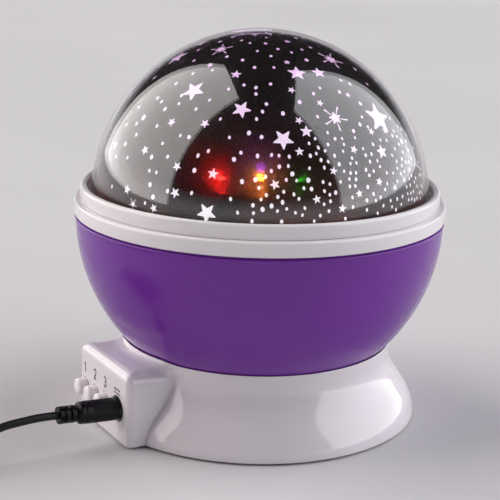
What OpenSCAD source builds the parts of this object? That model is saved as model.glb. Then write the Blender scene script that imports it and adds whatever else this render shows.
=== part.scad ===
// Star night light projector: a turning bowl and dome on a battery and USB powered base.
// Millimetres. +Z is up, the floor is z = 0, and the control panel faces -X.

/* [Base] */
// Radius of the foot where it meets the floor
foot_r = 53.4; // [51:0.2:55]
// Radius of the neck under the bowl
neck_r = 44.4; // [43.5:0.1:45]
// Wall of the base shell
base_wall = 2; // [1.6:0.1:2.4]
// Height at which the flare starts
flare_low = 1; // [0.8:0.1:2]
// Height at which the flare runs out into the neck
flare_high = 21.5; // [20:0.5:22.5]
// Underside of the deck that carries the bowl
deck_z = 18; // [17.5:0.5:20]
// Thickness of the deck
deck_t = 2; // [1.6:0.1:2.6]
// Gap between the neck's rim and the bowl
neck_gap = 0.3; // [0.2:0.05:0.8]

/* [Control box] */
// Distance of the control panel from the axis
panel_x = 56.1; // [55.5:0.1:57]
// Width of the control box
box_w = 37.2; // [36.8:0.2:40]
// Height of the control box above the floor
box_top = 24.6; // [23.5:0.1:25]
// Radius of the panel's two top corners
box_corner = 5; // [3:0.5:6]
// Radius of the top front edge
box_edge = 3; // [1:0.5:3.5]
// Radius of the upright front edges
box_side_edge = 2.2; // [1:0.2:3]

/* [Buttons] */
// Distance of the first button's axis from the box's side
button_side = 4.7; // [4.7:0.1:5.4]
// Height of the buttons' axes
button_z = 10.7; // [10.2:0.1:12]
// Radius of a button
button_r = 2.7; // [2.2:0.1:2.8]
// How far a button stands out of the panel
button_out = 3.4; // [2:0.1:4]
// Travel of a button
button_travel = 0.8; // [0.4:0.1:1]
// Gap round a button in its hole
button_gap = 0.25; // [0.15:0.05:0.4]

/* [Power socket and plug] */
// Distance of the socket's axis from the box's other side
jack_side = 7.8; // [7:0.1:8.4]
// Extra room between the last button and the socket
jack_room = 1.6; // [0.8:0.1:2.4]
// Height of the socket's axis
jack_z = 11.4; // [10.8:0.1:12]
// Upward lean of the plug in its socket, in degrees
plug_lean = 3.5; // [0:0.5:4]
// Radius of the plug's grip
plug_r = 3.6; // [3:0.1:3.9]
// Length of the plug's grip
plug_grip = 12.4; // [10:0.2:16]
// Radius of the plug's contact barrel
barrel_r = 2.75; // [2:0.05:2.8]

/* [Cable] */
// Diameter of the cable
cable_d = 2.5; // [2:0.1:3]
// Mean radius of the coil
coil_r = 13.1; // [12.5:0.1:15]
// Distance between two turns of the coil
coil_pitch = 2.6; // [2.5:0.1:3.2]
// Layers in the coil
coil_layers = 4; // [3:1:5]
// Turns in each layer
coil_turns = 2.8125; // [2:0.0625:3]
// Thickness of the tie
tie_t = 0.5; // [0.4:0.1:1]

/* [Bowl] */
// Outer radius of the bowl
bowl_r = 59.8; // [59:0.2:62]
// Depth from the bowl's widest circle down to its floor's underside
bowl_depth = 43; // [41:0.5:44]
// Wall of the bowl
bowl_wall = 2; // [1.6:0.1:2.6]
// Straight rim above the bowl's widest circle
bowl_rim_h = 1; // [0.6:0.1:2]
// Length of the hub above the bowl's floor
hub_h = 5.8; // [4:0.2:8]

/* [Band and collar] */
// How far the band stands out past the bowl
band_proud = 0.5; // [0.2:0.1:1.5]
// Height of the band
band_h = 4.6; // [4:0.2:6]
// Depth of the band's skirt inside the bowl
band_skirt = 5; // [3:0.5:8]
// Width of the ledge between band and collar
ledge_w = 2; // [1:0.2:3]
// Height of the collar above the ledge
collar_h = 4.7; // [3.5:0.1:7]
// Thickness of the collar's lip
lip_t = 2.2; // [1.6:0.1:3]
// Gap between the lip and the dome
lip_gap = 1.2; // [0.6:0.1:2]
// Depth of the collar's skirt in the band
collar_skirt = 4.2; // [3:0.1:4.2]
// Sliding clearance between collar and band
collar_gap = 0.15; // [0.1:0.05:0.3]

/* [Dome] */
// Wall of the clear dome
dome_wall = 1.2; // [0.8:0.1:1.6]
// Thickness of the star film
film_t = 0.4; // [0.3:0.05:0.6]
// How far the dome's centre lies below the ledge
dome_drop = 0.5; // [0:0.1:1]

/* [Lights] */
// Radius of the light board
led_board_r = 16.5; // [15.6:0.1:20]
// Distance of the four outer lights from the axis
led_ring_r = 12.7; // [11:0.1:13]
// Radius of one light
led_r = 2.5; // [1.5:0.1:2.6]
// Height of one light above its board
led_h = 5.6; // [4:0.1:8]
// Height of the light board above the ledge
led_rise = 1.2; // [0:0.2:4]
// Radius of the post at its foot
post_r = 5; // [4.6:0.1:6.5]
// Radius of the wire bore in the post
post_bore = 2.6; // [2:0.1:3]

/* [Drive] */
// Tooth module of the gears
gear_m = 0.9; // [0.8:0.05:0.95]
// Teeth of the ring gear on the bowl
ring_teeth = 40; // [38:2:42]
// Teeth of the motor's pinion
pinion_teeth = 10; // [10:2:12]
// Height of the ring gear
gear_h = 2.5; // [2.1:0.1:3.5]
// Play between the teeth
backlash = 0.1; // [0.06:0.02:0.3]
// Radius of the spigot that the bowl turns on
spigot_r = 7; // [6:0.1:8]
// Radius of the wire bore in the spigot
spigot_bore = 3.5; // [2.5:0.1:4]
// Radial clearance of a turning fit
run_gap = 0.06; // [0.03:0.01:0.1]
// Radius of the motor
motor_r = 7.5; // [6.5:0.1:7.8]
// Length of the motor
motor_h = 12; // [10:0.5:12.5]
// Radius of the motor's shaft
shaft_r = 1; // [0.75:0.05:1.25]

/* [Battery bay] */
// Cells side by side
cells = 4; // [3:1:4]
// Width of one cell's place
cell_d = 10.75; // [10.5:0.05:10.8]
// Inside length of the bay
bay_l = 51; // [49:0.5:51]
// Inside height of the bay above the plate
bay_h = 11.5; // [10.8:0.1:12]
// Wall of the bay
bay_wall = 1.5; // [1:0.1:1.6]
// Thickness of the base plate
plate_t = 2; // [1.8:0.1:2.2]
// Height of the rubber feet
feet_h = 0.8; // [0.6:0.1:1.5]
// Radius of a rubber foot
pad_r = 4; // [3:0.2:4.4]
// Thickness of the battery door
door_t = 1.6; // [1.2:0.1:1.8]
// Radius of the door's hinge barrel
hinge_r = 1.3; // [1.2:0.05:1.4]
// Radius of the door's hinge pin
pin_r = 0.7; // [0.6:0.05:0.75]

/* [Hidden] */
$fn = 96;
// A cut reaches this far past the face that it opens
past = 1;
// Gap between parts that lift, swing or slot together, and under the tip of a screw
slack = 0.3;
// Gap round a socket, a shell or a plate in its place
seat_gap = 0.2;
// Gap round a screw, a rubber foot or a washer in its place
fit_gap = 0.1;
// Clearance of a close fixed fit
close = 0.05;
// How far two shapes of one piece run into each other
sunk = 0.5;
// End play of the bowl's hub under the post
end_play = 0.1;

// Heights, from the floor up
plate_top = feet_h + plate_t;
deck_top = deck_z + deck_t;
washer_t = 0.6;
gear_low = deck_top + washer_t + fit_gap;
floor_z = gear_low + gear_h;
bowl_cz = floor_z + bowl_depth;
band_low = bowl_cz + bowl_rim_h;
ledge_z = band_low + band_h;
dome_cz = ledge_z - dome_drop;
board_t = 1.6;
board_low = ledge_z + led_rise;

// Foot, neck and control box
foot_steps = 16;
neck_reach = 4;
box_into = 12;
box_back = neck_r - base_wall - box_into;
panel_in = panel_x - base_wall;
boss_r = 3;
boss_inset = 4.4;
boss_turn = 75;
boss_back_turn = 150;
boss_ring = neck_r - boss_inset;
boss_places = [for (s = [-1, 1], a = [boss_turn, boss_back_turn]) boss_ring * [cos(a), s * sin(a)]];
screw_r = 1;
screw_l = 9;
head_r = 2.3;
head_h = 1;
head_low = feet_h + fit_gap;
bore_spare = 2.1;
boss_bore_top = head_low + head_h + screw_l + bore_spare;
pad_inset = 1.4;
pad_ring = foot_r - base_wall - pad_r - pad_inset;
pad_recess = 0.6;

// Buttons and socket across the panel
button_y = box_w / 2 - button_side;
jack_y = jack_side - box_w / 2;
button_pitch = (button_y - jack_y - jack_room) / 3;
crown_h = 1;
crown_r = 4.2;

// Control board, its ribs and parts, the switches and the socket
circuit_t = 1.6;
circuit_back = 7.1;
circuit_x = panel_in - circuit_back;
circuit_w = box_w - 2 * base_wall - 2 * slack;
circuit_top = deck_z - slack;
rib_t = 1.2;
rib_w = 4;
rib_h = 3.2;
rib_y = 12;
chip = [1.6, 7, 5];
chip_at = [-4.5, 9.5];
buffer_r = 2.5;
buffer_l = 5;
buffer_at = [7, 11];
switch_w = 4.5;
knob_r = 1.4;
stop_t = 1.2;
stop_w = 4.4;
stop_h = 8;
stop_x = panel_in - slack;
stem_r = 1.5;
stem_l = 0.4;
knob_x = stop_x - stop_t - stem_l - button_travel - fit_gap;
knob_l = 0.8;
jack_w = 9;
jack_nose_r = 4;
jack_bore_gap = 0.45;
jack_bore = barrel_r + jack_bore_gap;
jack_floor = 1;
jack_pin_r = 0.6;
jack_pin_l = 6;
barrel_out = 1.5;
barrel_in = 5;
barrel_held = 3;
barrel_bore = 1.2;
plug_edge = 0.8;
plug_taper = 1;
relief_l = 6;
relief_r = 0.75 * plug_r;
relief_rings = 3;
groove_d = 0.7;
groove_w = 0.6;
plug_length = barrel_out + plug_grip + relief_l;

// Bowl, band, collar and dome
lip_bead = 0.4;
band_r = bowl_r + band_proud;
hub_wall = 2.4;
hub_r = spigot_r + run_gap + hub_wall;
hub_top = floor_z + bowl_wall + hub_h;
spigot_top = hub_top + end_play;
flange_t = 2;
collar_r = band_r - ledge_w;
dome_r = collar_r - lip_t - lip_gap;
collar_wall = 1.5;
skirt_in = dome_r + seat_gap;
skirt_out = skirt_in + collar_wall;
band_bore = skirt_out + collar_gap;
band_step = 1.4;
gutter_h = 1.2;
film_r = dome_r - dome_wall - close;
seat_t = 1.2;
seat_w = 0.35;
seat_z = ledge_z - collar_skirt + seat_t;
seat_r = film_r - film_t - seat_w;

// Gears
pressure = 20;
ring_pitch = gear_m * ring_teeth / 2;
pinion_pitch = gear_m * pinion_teeth / 2;
motor_x = ring_pitch + pinion_pitch;
ring_addendum = 0.6 * gear_m;
pinion_addendum = 0.9 * gear_m;
root_gap = 0.25 * gear_m;
gear_inset = 2;
gear_bore = hub_r + gear_inset;
gear_floor = 0.5;
gear_screw_ring = (gear_bore + ring_pitch) / 2 - slack;
gear_screw_turns = [30:120:270];
small_screw = 0.9;
small_head = 1.7;
pinion_rise = 0.8;
motor_floor = 2;
motor_screw_y = 0.7 * motor_r;
motor_screw_in = 2.2;
motor_head_in = 0.9;

// Light column
post_screw_ring = (spigot_bore + spigot_r) / 2;
post_screws_in = 4.5;
post_taper = 0.8;
post_top_r = 8;
post_top_t = 1.6;
driver_room = 10;
board_screw_ring = 6;
board_screw_l = 3;
led_rim = 0.4;
led_rim_h = 0.9;
led_turn = 149;

// Battery bay and door
bay_x0 = -(cells * cell_d) + 31.5;
bay_x1 = 31.5;
hinge_x = bay_x1 - slack - hinge_r;
hinge_z = feet_h + hinge_r;
hinge_lug = 2;
hinge_inset = 4.8;
hinge_half = bay_l / 2 - hinge_inset;
catch_w = 10;
catch_t = 1;
notch_in = 4;
notch_l = 3;
notch_w = 12;
notch_d = 0.7;
spring_l = 4.6;
spring_turns = 3;
spring_wire = 0.35;
spring_r = 3;
spring_tip_r = 1.6;
contact_t = 0.4;
contact_w = 8;
contact_low = plate_top + 1.2;
contact_high = plate_top + bay_h - 1.9;

// Wires: single ones, and the bundle to the lights between the bay's roof and the deck
wire_r = 0.6;
wire_core_r = 0.4;
battery_wire_y = 14;
battery_wire_z = plate_top + 6;
motor_wire_y = 3;
wires_r = 0.9;
wires_z = (plate_top + bay_h + bay_wall + deck_z) / 2;

// Cable: points on its centre line, from the plug to the coil and from the coil to its far plug
coil_x = -122;
coil_half = coil_pitch * coil_turns / 2;
coil_y = jack_y + coil_r + coil_half;
coil_h = coil_layers * coil_pitch;
coil_z = tie_t + coil_pitch / 2;
tie_w = 5;
far_x = coil_x - coil_r - coil_half;
plug_way = [-cos(plug_lean), 0, sin(plug_lean)];
lead_start = [-panel_x, jack_y, jack_z] + plug_length * plug_way;
lead = [
    lead_start,
    lead_start + 2.5 * plug_way,
    [-82.5, jack_y, 12.9],
    [-87.0, jack_y, 12.7],
    [-93.0, jack_y, 12.2],
    [-98.5, jack_y, 10.8],
    [-103.5, jack_y, 8.4],
    [-108.0, jack_y, 5.8],
    [-113.0, jack_y, 3.5],
    [-117.5, jack_y, 2.2],
    [coil_x, jack_y, coil_z]
];
usb_y = 29;
usb_l = 22;
usb_w = 15.6;
usb_t = 8.4;
usb_edge = 2;
usb_shell_l = 12;
usb_shell_w = 12;
usb_shell_t = 4.5;
usb_shell_wall = 0.4;
usb_tongue_h = 2.2;
tail = [
    [far_x, coil_y, tie_t + coil_h - coil_pitch / 2],
    [far_x, 11.0, 9.2],
    [far_x, 16.0, 7.9],
    [far_x, 20.5, 6.2],
    [far_x, 24.0, 4.8],
    [far_x, usb_y - 2, usb_t / 2],
    [far_x, usb_y, usb_t / 2]
];

// ---- outlines and sweeps ----

function arc(c, r, a, b, n = 8) = [for (i = [0:n]) c + r * [cos(a + (b - a) * i / n), sin(a + (b - a) * i / n)]];

// Radius of the foot's outside at a height: a soft S from the foot to the neck
function flare(z) =
    let (t = max(0, min(1, (z - flare_low) / (flare_high - flare_low))))
    neck_r + (foot_r - neck_r) * (1 + cos(180 * t)) / 2;

function unit(v) = v / norm(v);

function tangent(p, i) = unit(p[min(i + 1, len(p) - 1)] - p[max(i - 1, 0)]);

function ring(c, t, up, r, n) =
    let (u = unit(cross(up, t)), v = cross(t, u))
    [for (k = [0:n - 1]) c + r * (cos(360 * k / n) * u + sin(360 * k / n) * v)];

// A round tube along a list of points; up is any direction that the path never follows
module tube(path, r, n = 8, up = [0, 0, 1]) {
    last = len(path) - 1;
    rings = [for (i = [0:last]) ring(path[i], tangent(path, i), up, r, n)];
    sides = [for (i = [0:last - 1], k = [0:n - 1])
        let (a = i * n + k, b = i * n + (k + 1) % n)
        each [[a, a + n, b], [b, a + n, b + n]]];
    polyhedron(
        points = [for (one = rings) each one],
        faces = concat([[for (k = [0:n - 1]) k]], sides, [[for (k = [n - 1:-1:0]) last * n + k]])
    );
}

module along_x() {
    rotate([0, -90, 0]) children();
}

module disc(r, low, high) {
    translate([0, 0, low]) cylinder(r = r, h = high - low);
}

module annulus(inner, outer, low, high) {
    difference() {
        disc(outer, low, high);
        disc(inner, low - past, high + past);
    }
}

module block(low, high) {
    translate(low) cube(high - low);
}

// A pan-head screw standing on its point: shank upwards from z = 0, head below it
module screw_up(r, l, head, h) {
    cylinder(r = r, h = l);
    translate([0, 0, -h]) cylinder(r = head, h = h);
}

// ---- base ----

module foot_solid(inset, low, high) {
    rotate_extrude() polygon(concat(
        [[0, low]],
        [for (i = [0:foot_steps]) let (z = low + (high - low) * i / foot_steps) [flare(z) - inset, z]],
        [[0, high]]
    ));
}

// The control box: its front, side and plan outlines cut each other, which rounds every edge
module box_solid(inset, low, back) {
    half = box_w / 2 - inset;
    top = box_top - inset;
    front = panel_x - inset;
    corner = box_corner - inset;
    edge = max(0.4, box_edge - inset);
    side = max(0.3, box_side_edge - inset);
    intersection() {
        translate([-front, 0, 0]) rotate([90, 0, 90]) linear_extrude(front - back) polygon(concat(
            [[-half, low]],
            arc([-half + corner, top - corner], corner, 180, 90),
            arc([half - corner, top - corner], corner, 90, 0),
            [[half, low]]
        ));
        translate([0, 0, low - past]) linear_extrude(top - low + 2 * past) polygon(concat(
            [[-back, -half]],
            arc([-front + side, -half + side], side, -90, -180),
            arc([-front + side, half - side], side, 180, 90),
            [[-back, half]]
        ));
        translate([0, half + past, 0]) rotate([90, 0, 0]) linear_extrude(2 * (half + past)) polygon(concat(
            [[-back, low - past], [-front, low - past]],
            arc([-front + edge, top - edge], edge, 180, 90),
            [[-back, top]]
        ));
    }
}

module base_hollow() {
    foot_solid(base_wall, -past, deck_z);
    box_solid(base_wall, -past, box_back);
}

module base_shell() color("white") {
    difference() {
        union() {
            difference() {
                union() {
                    foot_solid(0, feet_h, floor_z + neck_reach);
                    box_solid(0, feet_h, box_back);
                }
                difference() {
                    base_hollow();
                    disc(neck_r, deck_z, box_top + past);
                }
                disc(neck_r - base_wall, deck_top, bowl_cz);
                difference() {
                    translate([0, 0, bowl_cz]) sphere(r = bowl_r + neck_gap);
                    disc(bowl_r + past, 0, deck_top);
                }
            }
            disc(spigot_r, deck_z, spigot_top);
            for (p = boss_places) translate(p) disc(boss_r, plate_top, deck_z + sunk);
        }
        disc(spigot_bore, deck_z - past, spigot_top + past);
        for (s = [-1, 1]) translate([s * post_screw_ring, 0, 0])
            disc(small_screw, spigot_top - post_screws_in - slack, spigot_top + past);
        for (p = boss_places) translate(p) disc(screw_r + close, 0, boss_bore_top);
        for (i = [0:2]) translate([-panel_in + past, button_y - i * button_pitch, button_z])
            along_x() cylinder(r = button_r + button_gap, h = base_wall + 2 * past);
        translate([-panel_in + past, jack_y, jack_z]) along_x()
            cylinder(r = jack_nose_r + seat_gap, h = base_wall + 2 * past);
        translate([-motor_x, 0, 0]) disc(shaft_r + slack, deck_z - past, deck_top + past);
        for (s = [-1, 1]) translate([-motor_x, s * motor_screw_y, 0]) {
            disc(small_screw + fit_gap, deck_z - past, deck_top + past);
            disc(small_head + fit_gap, deck_top - motor_head_in, deck_top + past);
        }
    }
}

module base_plate() color("gainsboro") {
    difference() {
        union() {
            disc(flare(plate_top) - base_wall - seat_gap, feet_h, plate_top);
            block([-panel_in + seat_gap, -circuit_w / 2, feet_h], [-box_back, circuit_w / 2, plate_top]);
            block([bay_x0 - bay_wall, -bay_l / 2 - bay_wall, feet_h],
                  [bay_x1 + bay_wall, bay_l / 2 + bay_wall, plate_top + bay_h + bay_wall]);
            for (s = [-1, 1], x = [circuit_x + fit_gap, circuit_x - circuit_t - rib_t - fit_gap])
                block([-x - rib_t, s * rib_y - rib_w / 2, plate_top - past],
                      [-x, s * rib_y + rib_w / 2, plate_top + rib_h]);
        }
        block([bay_x0, -bay_l / 2, -past], [bay_x1, bay_l / 2, plate_top + bay_h]);
        for (p = boss_places) translate(p) {
            disc(screw_r + slack, -past, plate_top + past);
            disc(head_r + slack, -past, head_low + head_h);
        }
        for (a = [45:90:315]) rotate(a) translate([pad_ring, 0, 0])
            disc(pad_r + fit_gap, -past, feet_h + pad_recess);
        for (s = [-1, 1]) translate([bay_x0 + past, s * battery_wire_y, battery_wire_z])
            along_x() cylinder(r = wire_core_r, h = bay_wall + 2 * past);
    }
    difference() {
        for (s = [-1, 1]) translate([0, s * (hinge_half + hinge_lug / 2), 0])
            block([hinge_x - hinge_r, -hinge_lug / 2, feet_h], [bay_x1 + past, hinge_lug / 2, hinge_z + hinge_r]);
        translate([hinge_x, bay_l, hinge_z]) rotate([90, 0, 0]) cylinder(r = pin_r, h = 2 * bay_l);
    }
}

module rubber_feet() color("dimgray") {
    for (a = [45:90:315]) rotate(a) translate([pad_ring, 0, 0]) disc(pad_r, 0, feet_h + pad_recess);
}

module base_screws() color("silver") {
    for (p = boss_places) translate(p) translate([0, 0, head_low + head_h])
        screw_up(screw_r, screw_l, head_r, head_h);
}

// ---- battery bay ----

module battery_contacts() color("silver") {
    for (i = [0:cells - 1], s = [-1, 1]) {
        x = bay_x0 + (i + 0.5) * cell_d;
        block([x - contact_w / 2, s * (bay_l / 2 - contact_t / 2) - contact_t / 2, contact_low],
              [x + contact_w / 2, s * (bay_l / 2 - contact_t / 2) + contact_t / 2, contact_high]);
    }
}

// One cone spring standing on its wide end at y = 0 and reaching along +Y
module cell_spring() {
    steps = 9 * spring_turns;
    tube([for (i = [0:steps])
        let (t = i / steps, r = spring_r + (spring_tip_r - spring_r) * t, a = 360 * spring_turns * t)
        [r * cos(a), spring_wire + (spring_l - 2 * spring_wire) * t, r * sin(a)]],
        spring_wire, 5, [0, 1, 0]);
}

module battery_springs() color("silver") {
    for (i = [0:cells - 1]) {
        s = i % 2 == 0 ? 1 : -1;
        translate([bay_x0 + (i + 0.5) * cell_d, -s * (bay_l / 2 - contact_t), (contact_low + contact_high) / 2])
            scale([1, s, 1]) cell_spring();
    }
}

module hinge_pin() color("silver") {
    translate([hinge_x, hinge_half + hinge_lug, hinge_z]) rotate([90, 0, 0])
        cylinder(r = pin_r, h = 2 * (hinge_half + hinge_lug));
}

module battery_door() color("gainsboro") {
    edge = hinge_half - slack;
    panel_end = hinge_x - hinge_r * sqrt(2) - 2 * slack;
    difference() {
        union() {
            block([bay_x0 + slack, -bay_l / 2 + slack, feet_h], [panel_end, bay_l / 2 - slack, feet_h + door_t]);
            block([panel_end - past, -edge, feet_h], [hinge_x, edge, feet_h + door_t]);
            translate([hinge_x, edge, hinge_z]) rotate([90, 0, 0]) cylinder(r = hinge_r, h = 2 * edge);
            block([bay_x0 + 2 * slack, -catch_w / 2, feet_h + door_t - past],
                  [bay_x0 + 2 * slack + catch_t, catch_w / 2, feet_h + door_t + catch_t]);
        }
        translate([hinge_x, bay_l, hinge_z]) rotate([90, 0, 0]) cylinder(r = pin_r + run_gap, h = 2 * bay_l);
        block([bay_x0 + notch_in, -notch_w / 2, feet_h - past],
              [bay_x0 + notch_in + notch_l, notch_w / 2, feet_h + notch_d]);
    }
}

// ---- control board ----

module control_board() color("darkgreen") {
    block([-circuit_x, -circuit_w / 2, plate_top], [-circuit_x + circuit_t, circuit_w / 2, circuit_top]);
}

module board_parts() color("black") {
    translate([-circuit_x + circuit_t, chip_at[0] - chip[1] / 2, chip_at[1] - chip[2] / 2]) cube(chip);
    translate([-circuit_x + circuit_t, buffer_at[0], buffer_at[1]]) rotate([0, 90, 0])
        cylinder(r = buffer_r, h = buffer_l);
}

module tact_switches() color("black") {
    for (i = [0:2]) {
        y = button_y - i * button_pitch;
        block([-knob_x + knob_l, y - switch_w / 2, button_z - switch_w / 2],
              [-circuit_x, y + switch_w / 2, button_z + switch_w / 2]);
        translate([-knob_x + knob_l, y, button_z]) along_x() cylinder(r = knob_r, h = knob_l);
    }
}

module dc_jack() color("black") {
    difference() {
        union() {
            block([-panel_in + seat_gap, jack_y - jack_w / 2, jack_z - jack_w / 2],
                  [-circuit_x, jack_y + jack_w / 2, jack_z + jack_w / 2]);
            translate([-panel_in + sunk, jack_y, jack_z]) along_x()
                cylinder(r = jack_nose_r, h = base_wall + sunk);
        }
        translate([-circuit_x - jack_floor, jack_y, jack_z]) along_x()
            cylinder(r = jack_bore, h = circuit_back + base_wall + past);
    }
}

module jack_pin() color("silver") {
    translate([-circuit_x - jack_floor, jack_y, jack_z]) along_x() cylinder(r = jack_pin_r, h = jack_pin_l);
}

// ---- drive ----

module motor() color("silver") {
    difference() {
        translate([-motor_x, 0, 0]) disc(motor_r, deck_z - motor_h, deck_z);
        translate([-motor_x, 0, 0]) disc(shaft_r + run_gap, deck_z - motor_h + motor_floor, deck_z + past);
        for (s = [-1, 1]) translate([-motor_x, s * motor_screw_y, 0])
            disc(small_screw, deck_z - motor_screw_in - slack, deck_z + past);
    }
}

module motor_screws() color("silver") {
    for (s = [-1, 1]) translate([-motor_x, s * motor_screw_y, 0]) {
        disc(small_screw, deck_z - motor_screw_in, deck_top - motor_head_in);
        disc(small_head, deck_top - motor_head_in, deck_top - fit_gap);
    }
}

module motor_shaft() color("silver") {
    translate([-motor_x, 0, 0]) disc(shaft_r, deck_z - motor_h + motor_floor + seat_gap, floor_z - slack);
}

// Angle between an involute's start and its point at radius r, in degrees
function involute(r, base) = let (t = sqrt(max(0, pow(r / base, 2) - 1))) t * 180 / PI - atan(t);

// A spur gear's outline, with a tooth pointing along +X
module gear_outline(teeth, addendum, dedendum) {
    pitch = gear_m * teeth / 2;
    base = pitch * cos(pressure);
    half = 90 / teeth - backlash / 4 / pitch * 180 / PI;
    tip = pitch + addendum;
    root = pitch - dedendum;
    start = max(base, root);
    flank = [for (i = [0:5])
        let (r = start + (tip - start) * i / 5)
        [r, half + involute(pitch, base) - involute(r, base)]];
    side = concat(root < start - 0.01 ? [[root, flank[0][1]]] : [], flank);
    polygon([for (k = [0:teeth - 1])
        let (mid = 360 * k / teeth)
        each concat(
            [for (p = side) p[0] * [cos(mid - p[1]), sin(mid - p[1])]],
            [for (i = [len(side) - 1:-1:0]) let (p = side[i]) p[0] * [cos(mid + p[1]), sin(mid + p[1])]]
        )]);
}

module pinion() color("ivory") {
    difference() {
        translate([-motor_x, 0, deck_top + pinion_rise]) rotate(180 / pinion_teeth)
            linear_extrude(floor_z - deck_top - pinion_rise - slack)
            gear_outline(pinion_teeth, pinion_addendum, ring_addendum + root_gap);
        translate([-motor_x, 0, 0]) disc(shaft_r, deck_top, floor_z + past);
    }
}

module ring_gear() color("ivory") {
    difference() {
        translate([0, 0, gear_low]) linear_extrude(gear_h)
            gear_outline(ring_teeth, ring_addendum, pinion_addendum + root_gap);
        disc(gear_bore, gear_low - past, floor_z + past);
        for (a = gear_screw_turns) rotate(a) translate([gear_screw_ring, 0, 0])
            disc(small_screw, gear_low + gear_floor, floor_z + past);
    }
}

module gear_screws() color("silver") {
    for (a = gear_screw_turns) rotate(a) translate([gear_screw_ring, 0, 0]) {
        disc(small_screw, gear_low + gear_floor + slack, floor_z + bowl_wall);
        disc(small_head, floor_z + bowl_wall, floor_z + bowl_wall + head_h);
    }
}

module thrust_washer() color("ivory") {
    annulus(spigot_r + fit_gap, hub_r, deck_top, deck_top + washer_t);
}

// ---- light column ----

module led_post() color("gainsboro") {
    difference() {
        union() {
            disc(hub_r - slack, spigot_top, spigot_top + flange_t);
            translate([0, 0, spigot_top])
                cylinder(r1 = post_r, r2 = post_r - post_taper, h = board_low - spigot_top);
            disc(post_top_r, board_low - post_top_t, board_low);
        }
        disc(post_bore, 0, board_low + past);
        for (s = [-1, 1]) translate([s * post_screw_ring, 0, 0]) {
            disc(small_screw, spigot_top - past, spigot_top + flange_t + driver_room);
            disc(small_head + seat_gap, spigot_top + flange_t, spigot_top + flange_t + driver_room);
        }
        for (s = [-1, 1]) translate([0, s * board_screw_ring, 0])
            disc(small_screw, board_low + board_t - board_screw_l - slack, board_low + past);
    }
}

module post_screws() color("silver") {
    for (s = [-1, 1]) translate([s * post_screw_ring, 0, 0]) {
        disc(small_screw, spigot_top - post_screws_in, spigot_top + flange_t);
        disc(small_head, spigot_top + flange_t, spigot_top + flange_t + head_h);
    }
}

module led_board() color("white") {
    difference() {
        disc(led_board_r, board_low, board_low + board_t);
        for (s = [-1, 1]) translate([0, s * board_screw_ring, 0])
            disc(small_screw + fit_gap, board_low - past, board_low + board_t + past);
    }
}

module led_board_screws() color("silver") {
    for (s = [-1, 1]) translate([0, s * board_screw_ring, board_low + board_t]) {
        translate([0, 0, -board_screw_l]) cylinder(r = small_screw, h = board_screw_l);
        cylinder(r = small_head, h = head_h);
    }
}

// A domed light standing on the board: flange, body and lens
module led() {
    translate([0, 0, board_low + board_t]) {
        cylinder(r = led_r + led_rim, h = led_rim_h);
        cylinder(r = led_r, h = led_h - led_r);
        translate([0, 0, led_h - led_r]) sphere(r = led_r);
    }
}

module led_at(turn) {
    rotate(turn) translate([led_ring_r, 0, 0]) led();
}

module led_red() color("red") led_at(led_turn);
module led_green() color("lime") led_at(led_turn + 180);
module led_violet() color("violet") led_at(led_turn - 90);
module led_white() color("white") led_at(led_turn + 90);
module led_amber() color("orange") led();

// ---- wires inside ----

module motor_wires() color("red") {
    for (s = [-1, 1]) tube([
        [-motor_x - 2, s * motor_wire_y, deck_z - motor_h],
        [-motor_x - 2, s * motor_wire_y, deck_z - motor_h - 1],
        [-motor_x - 3.4, s * motor_wire_y, deck_z - motor_h - 2],
        [-motor_x - 7, s * 3.2, deck_z - motor_h - 2.2],
        [-motor_x - 13, s * 3.8, deck_z - motor_h - 1.4],
        [-circuit_x + circuit_t + 2, s * 4, deck_z - motor_h - 1],
        [-circuit_x + circuit_t, s * 4, deck_z - motor_h - 1]
    ], wire_r, 6, [0, 1, 0]);
}

module battery_wires() color("black") {
    for (s = [-1, 1]) tube([
        [bay_x0 - bay_wall, s * battery_wire_y, battery_wire_z],
        [bay_x0 - bay_wall - 2, s * battery_wire_y, battery_wire_z],
        [bay_x0 - bay_wall - 7, s * 13.8, plate_top + 5.4],
        [bay_x0 - bay_wall - 14, s * 13.2, plate_top + 4.6],
        [bay_x0 - bay_wall - 22, s * 12.6, plate_top + 4.2],
        [-circuit_x + circuit_t + 3, s * 12.2, plate_top + 4.6],
        [-circuit_x + circuit_t + 1.5, s * 12.2, plate_top + 4.6],
        [-circuit_x + circuit_t, s * 12.2, plate_top + 4.6]
    ], wire_r, 6);
}

module led_wires() color("black") {
    tube([
        [-circuit_x + circuit_t, 12.5, deck_z - 3.8],
        [-circuit_x + circuit_t + 3, 12.5, deck_z - 3.8],
        [-37, 12.4, deck_z - 3.2],
        [-31, 12, deck_z - 1.8],
        [-22, 10.5, wires_z],
        [-13, 7, wires_z],
        [-6, 3, wires_z],
        [-2.6, 1.2, wires_z + 0.1],
        [-0.9, 0.3, deck_z + 0.6],
        [0, 0, deck_z + 3],
        [0, 0, deck_z + 6],
        [0, 0, hub_top],
        [0, 0, (hub_top + board_low) / 2],
        [0, 0, board_low]
    ], wires_r, 8, [0.2, 1, 0]);
}

// ---- buttons ----

module button_at(i) {
    translate([-panel_x, button_y - i * button_pitch, button_z]) {
        along_x() {
            translate([0, 0, stop_x - panel_x])
                cylinder(r = button_r, h = panel_x - stop_x + button_out - crown_h);
            translate([0, 0, button_out - crown_h]) intersection() {
                cylinder(r = button_r, h = crown_h);
                translate([0, 0, crown_h - crown_r]) sphere(r = crown_r);
            }
            translate([0, 0, stop_x - stop_t - stem_l - panel_x]) cylinder(r = stem_r, h = stem_l + sunk);
        }
        block([panel_x - stop_x, -stop_w / 2, -stop_h / 2], [panel_x - stop_x + stop_t, stop_w / 2, stop_h / 2]);
    }
}

module button_1() color("white") button_at(0);
module button_2() color("white") button_at(1);
module button_3() color("white") button_at(2);

// ---- turning head ----

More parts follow.
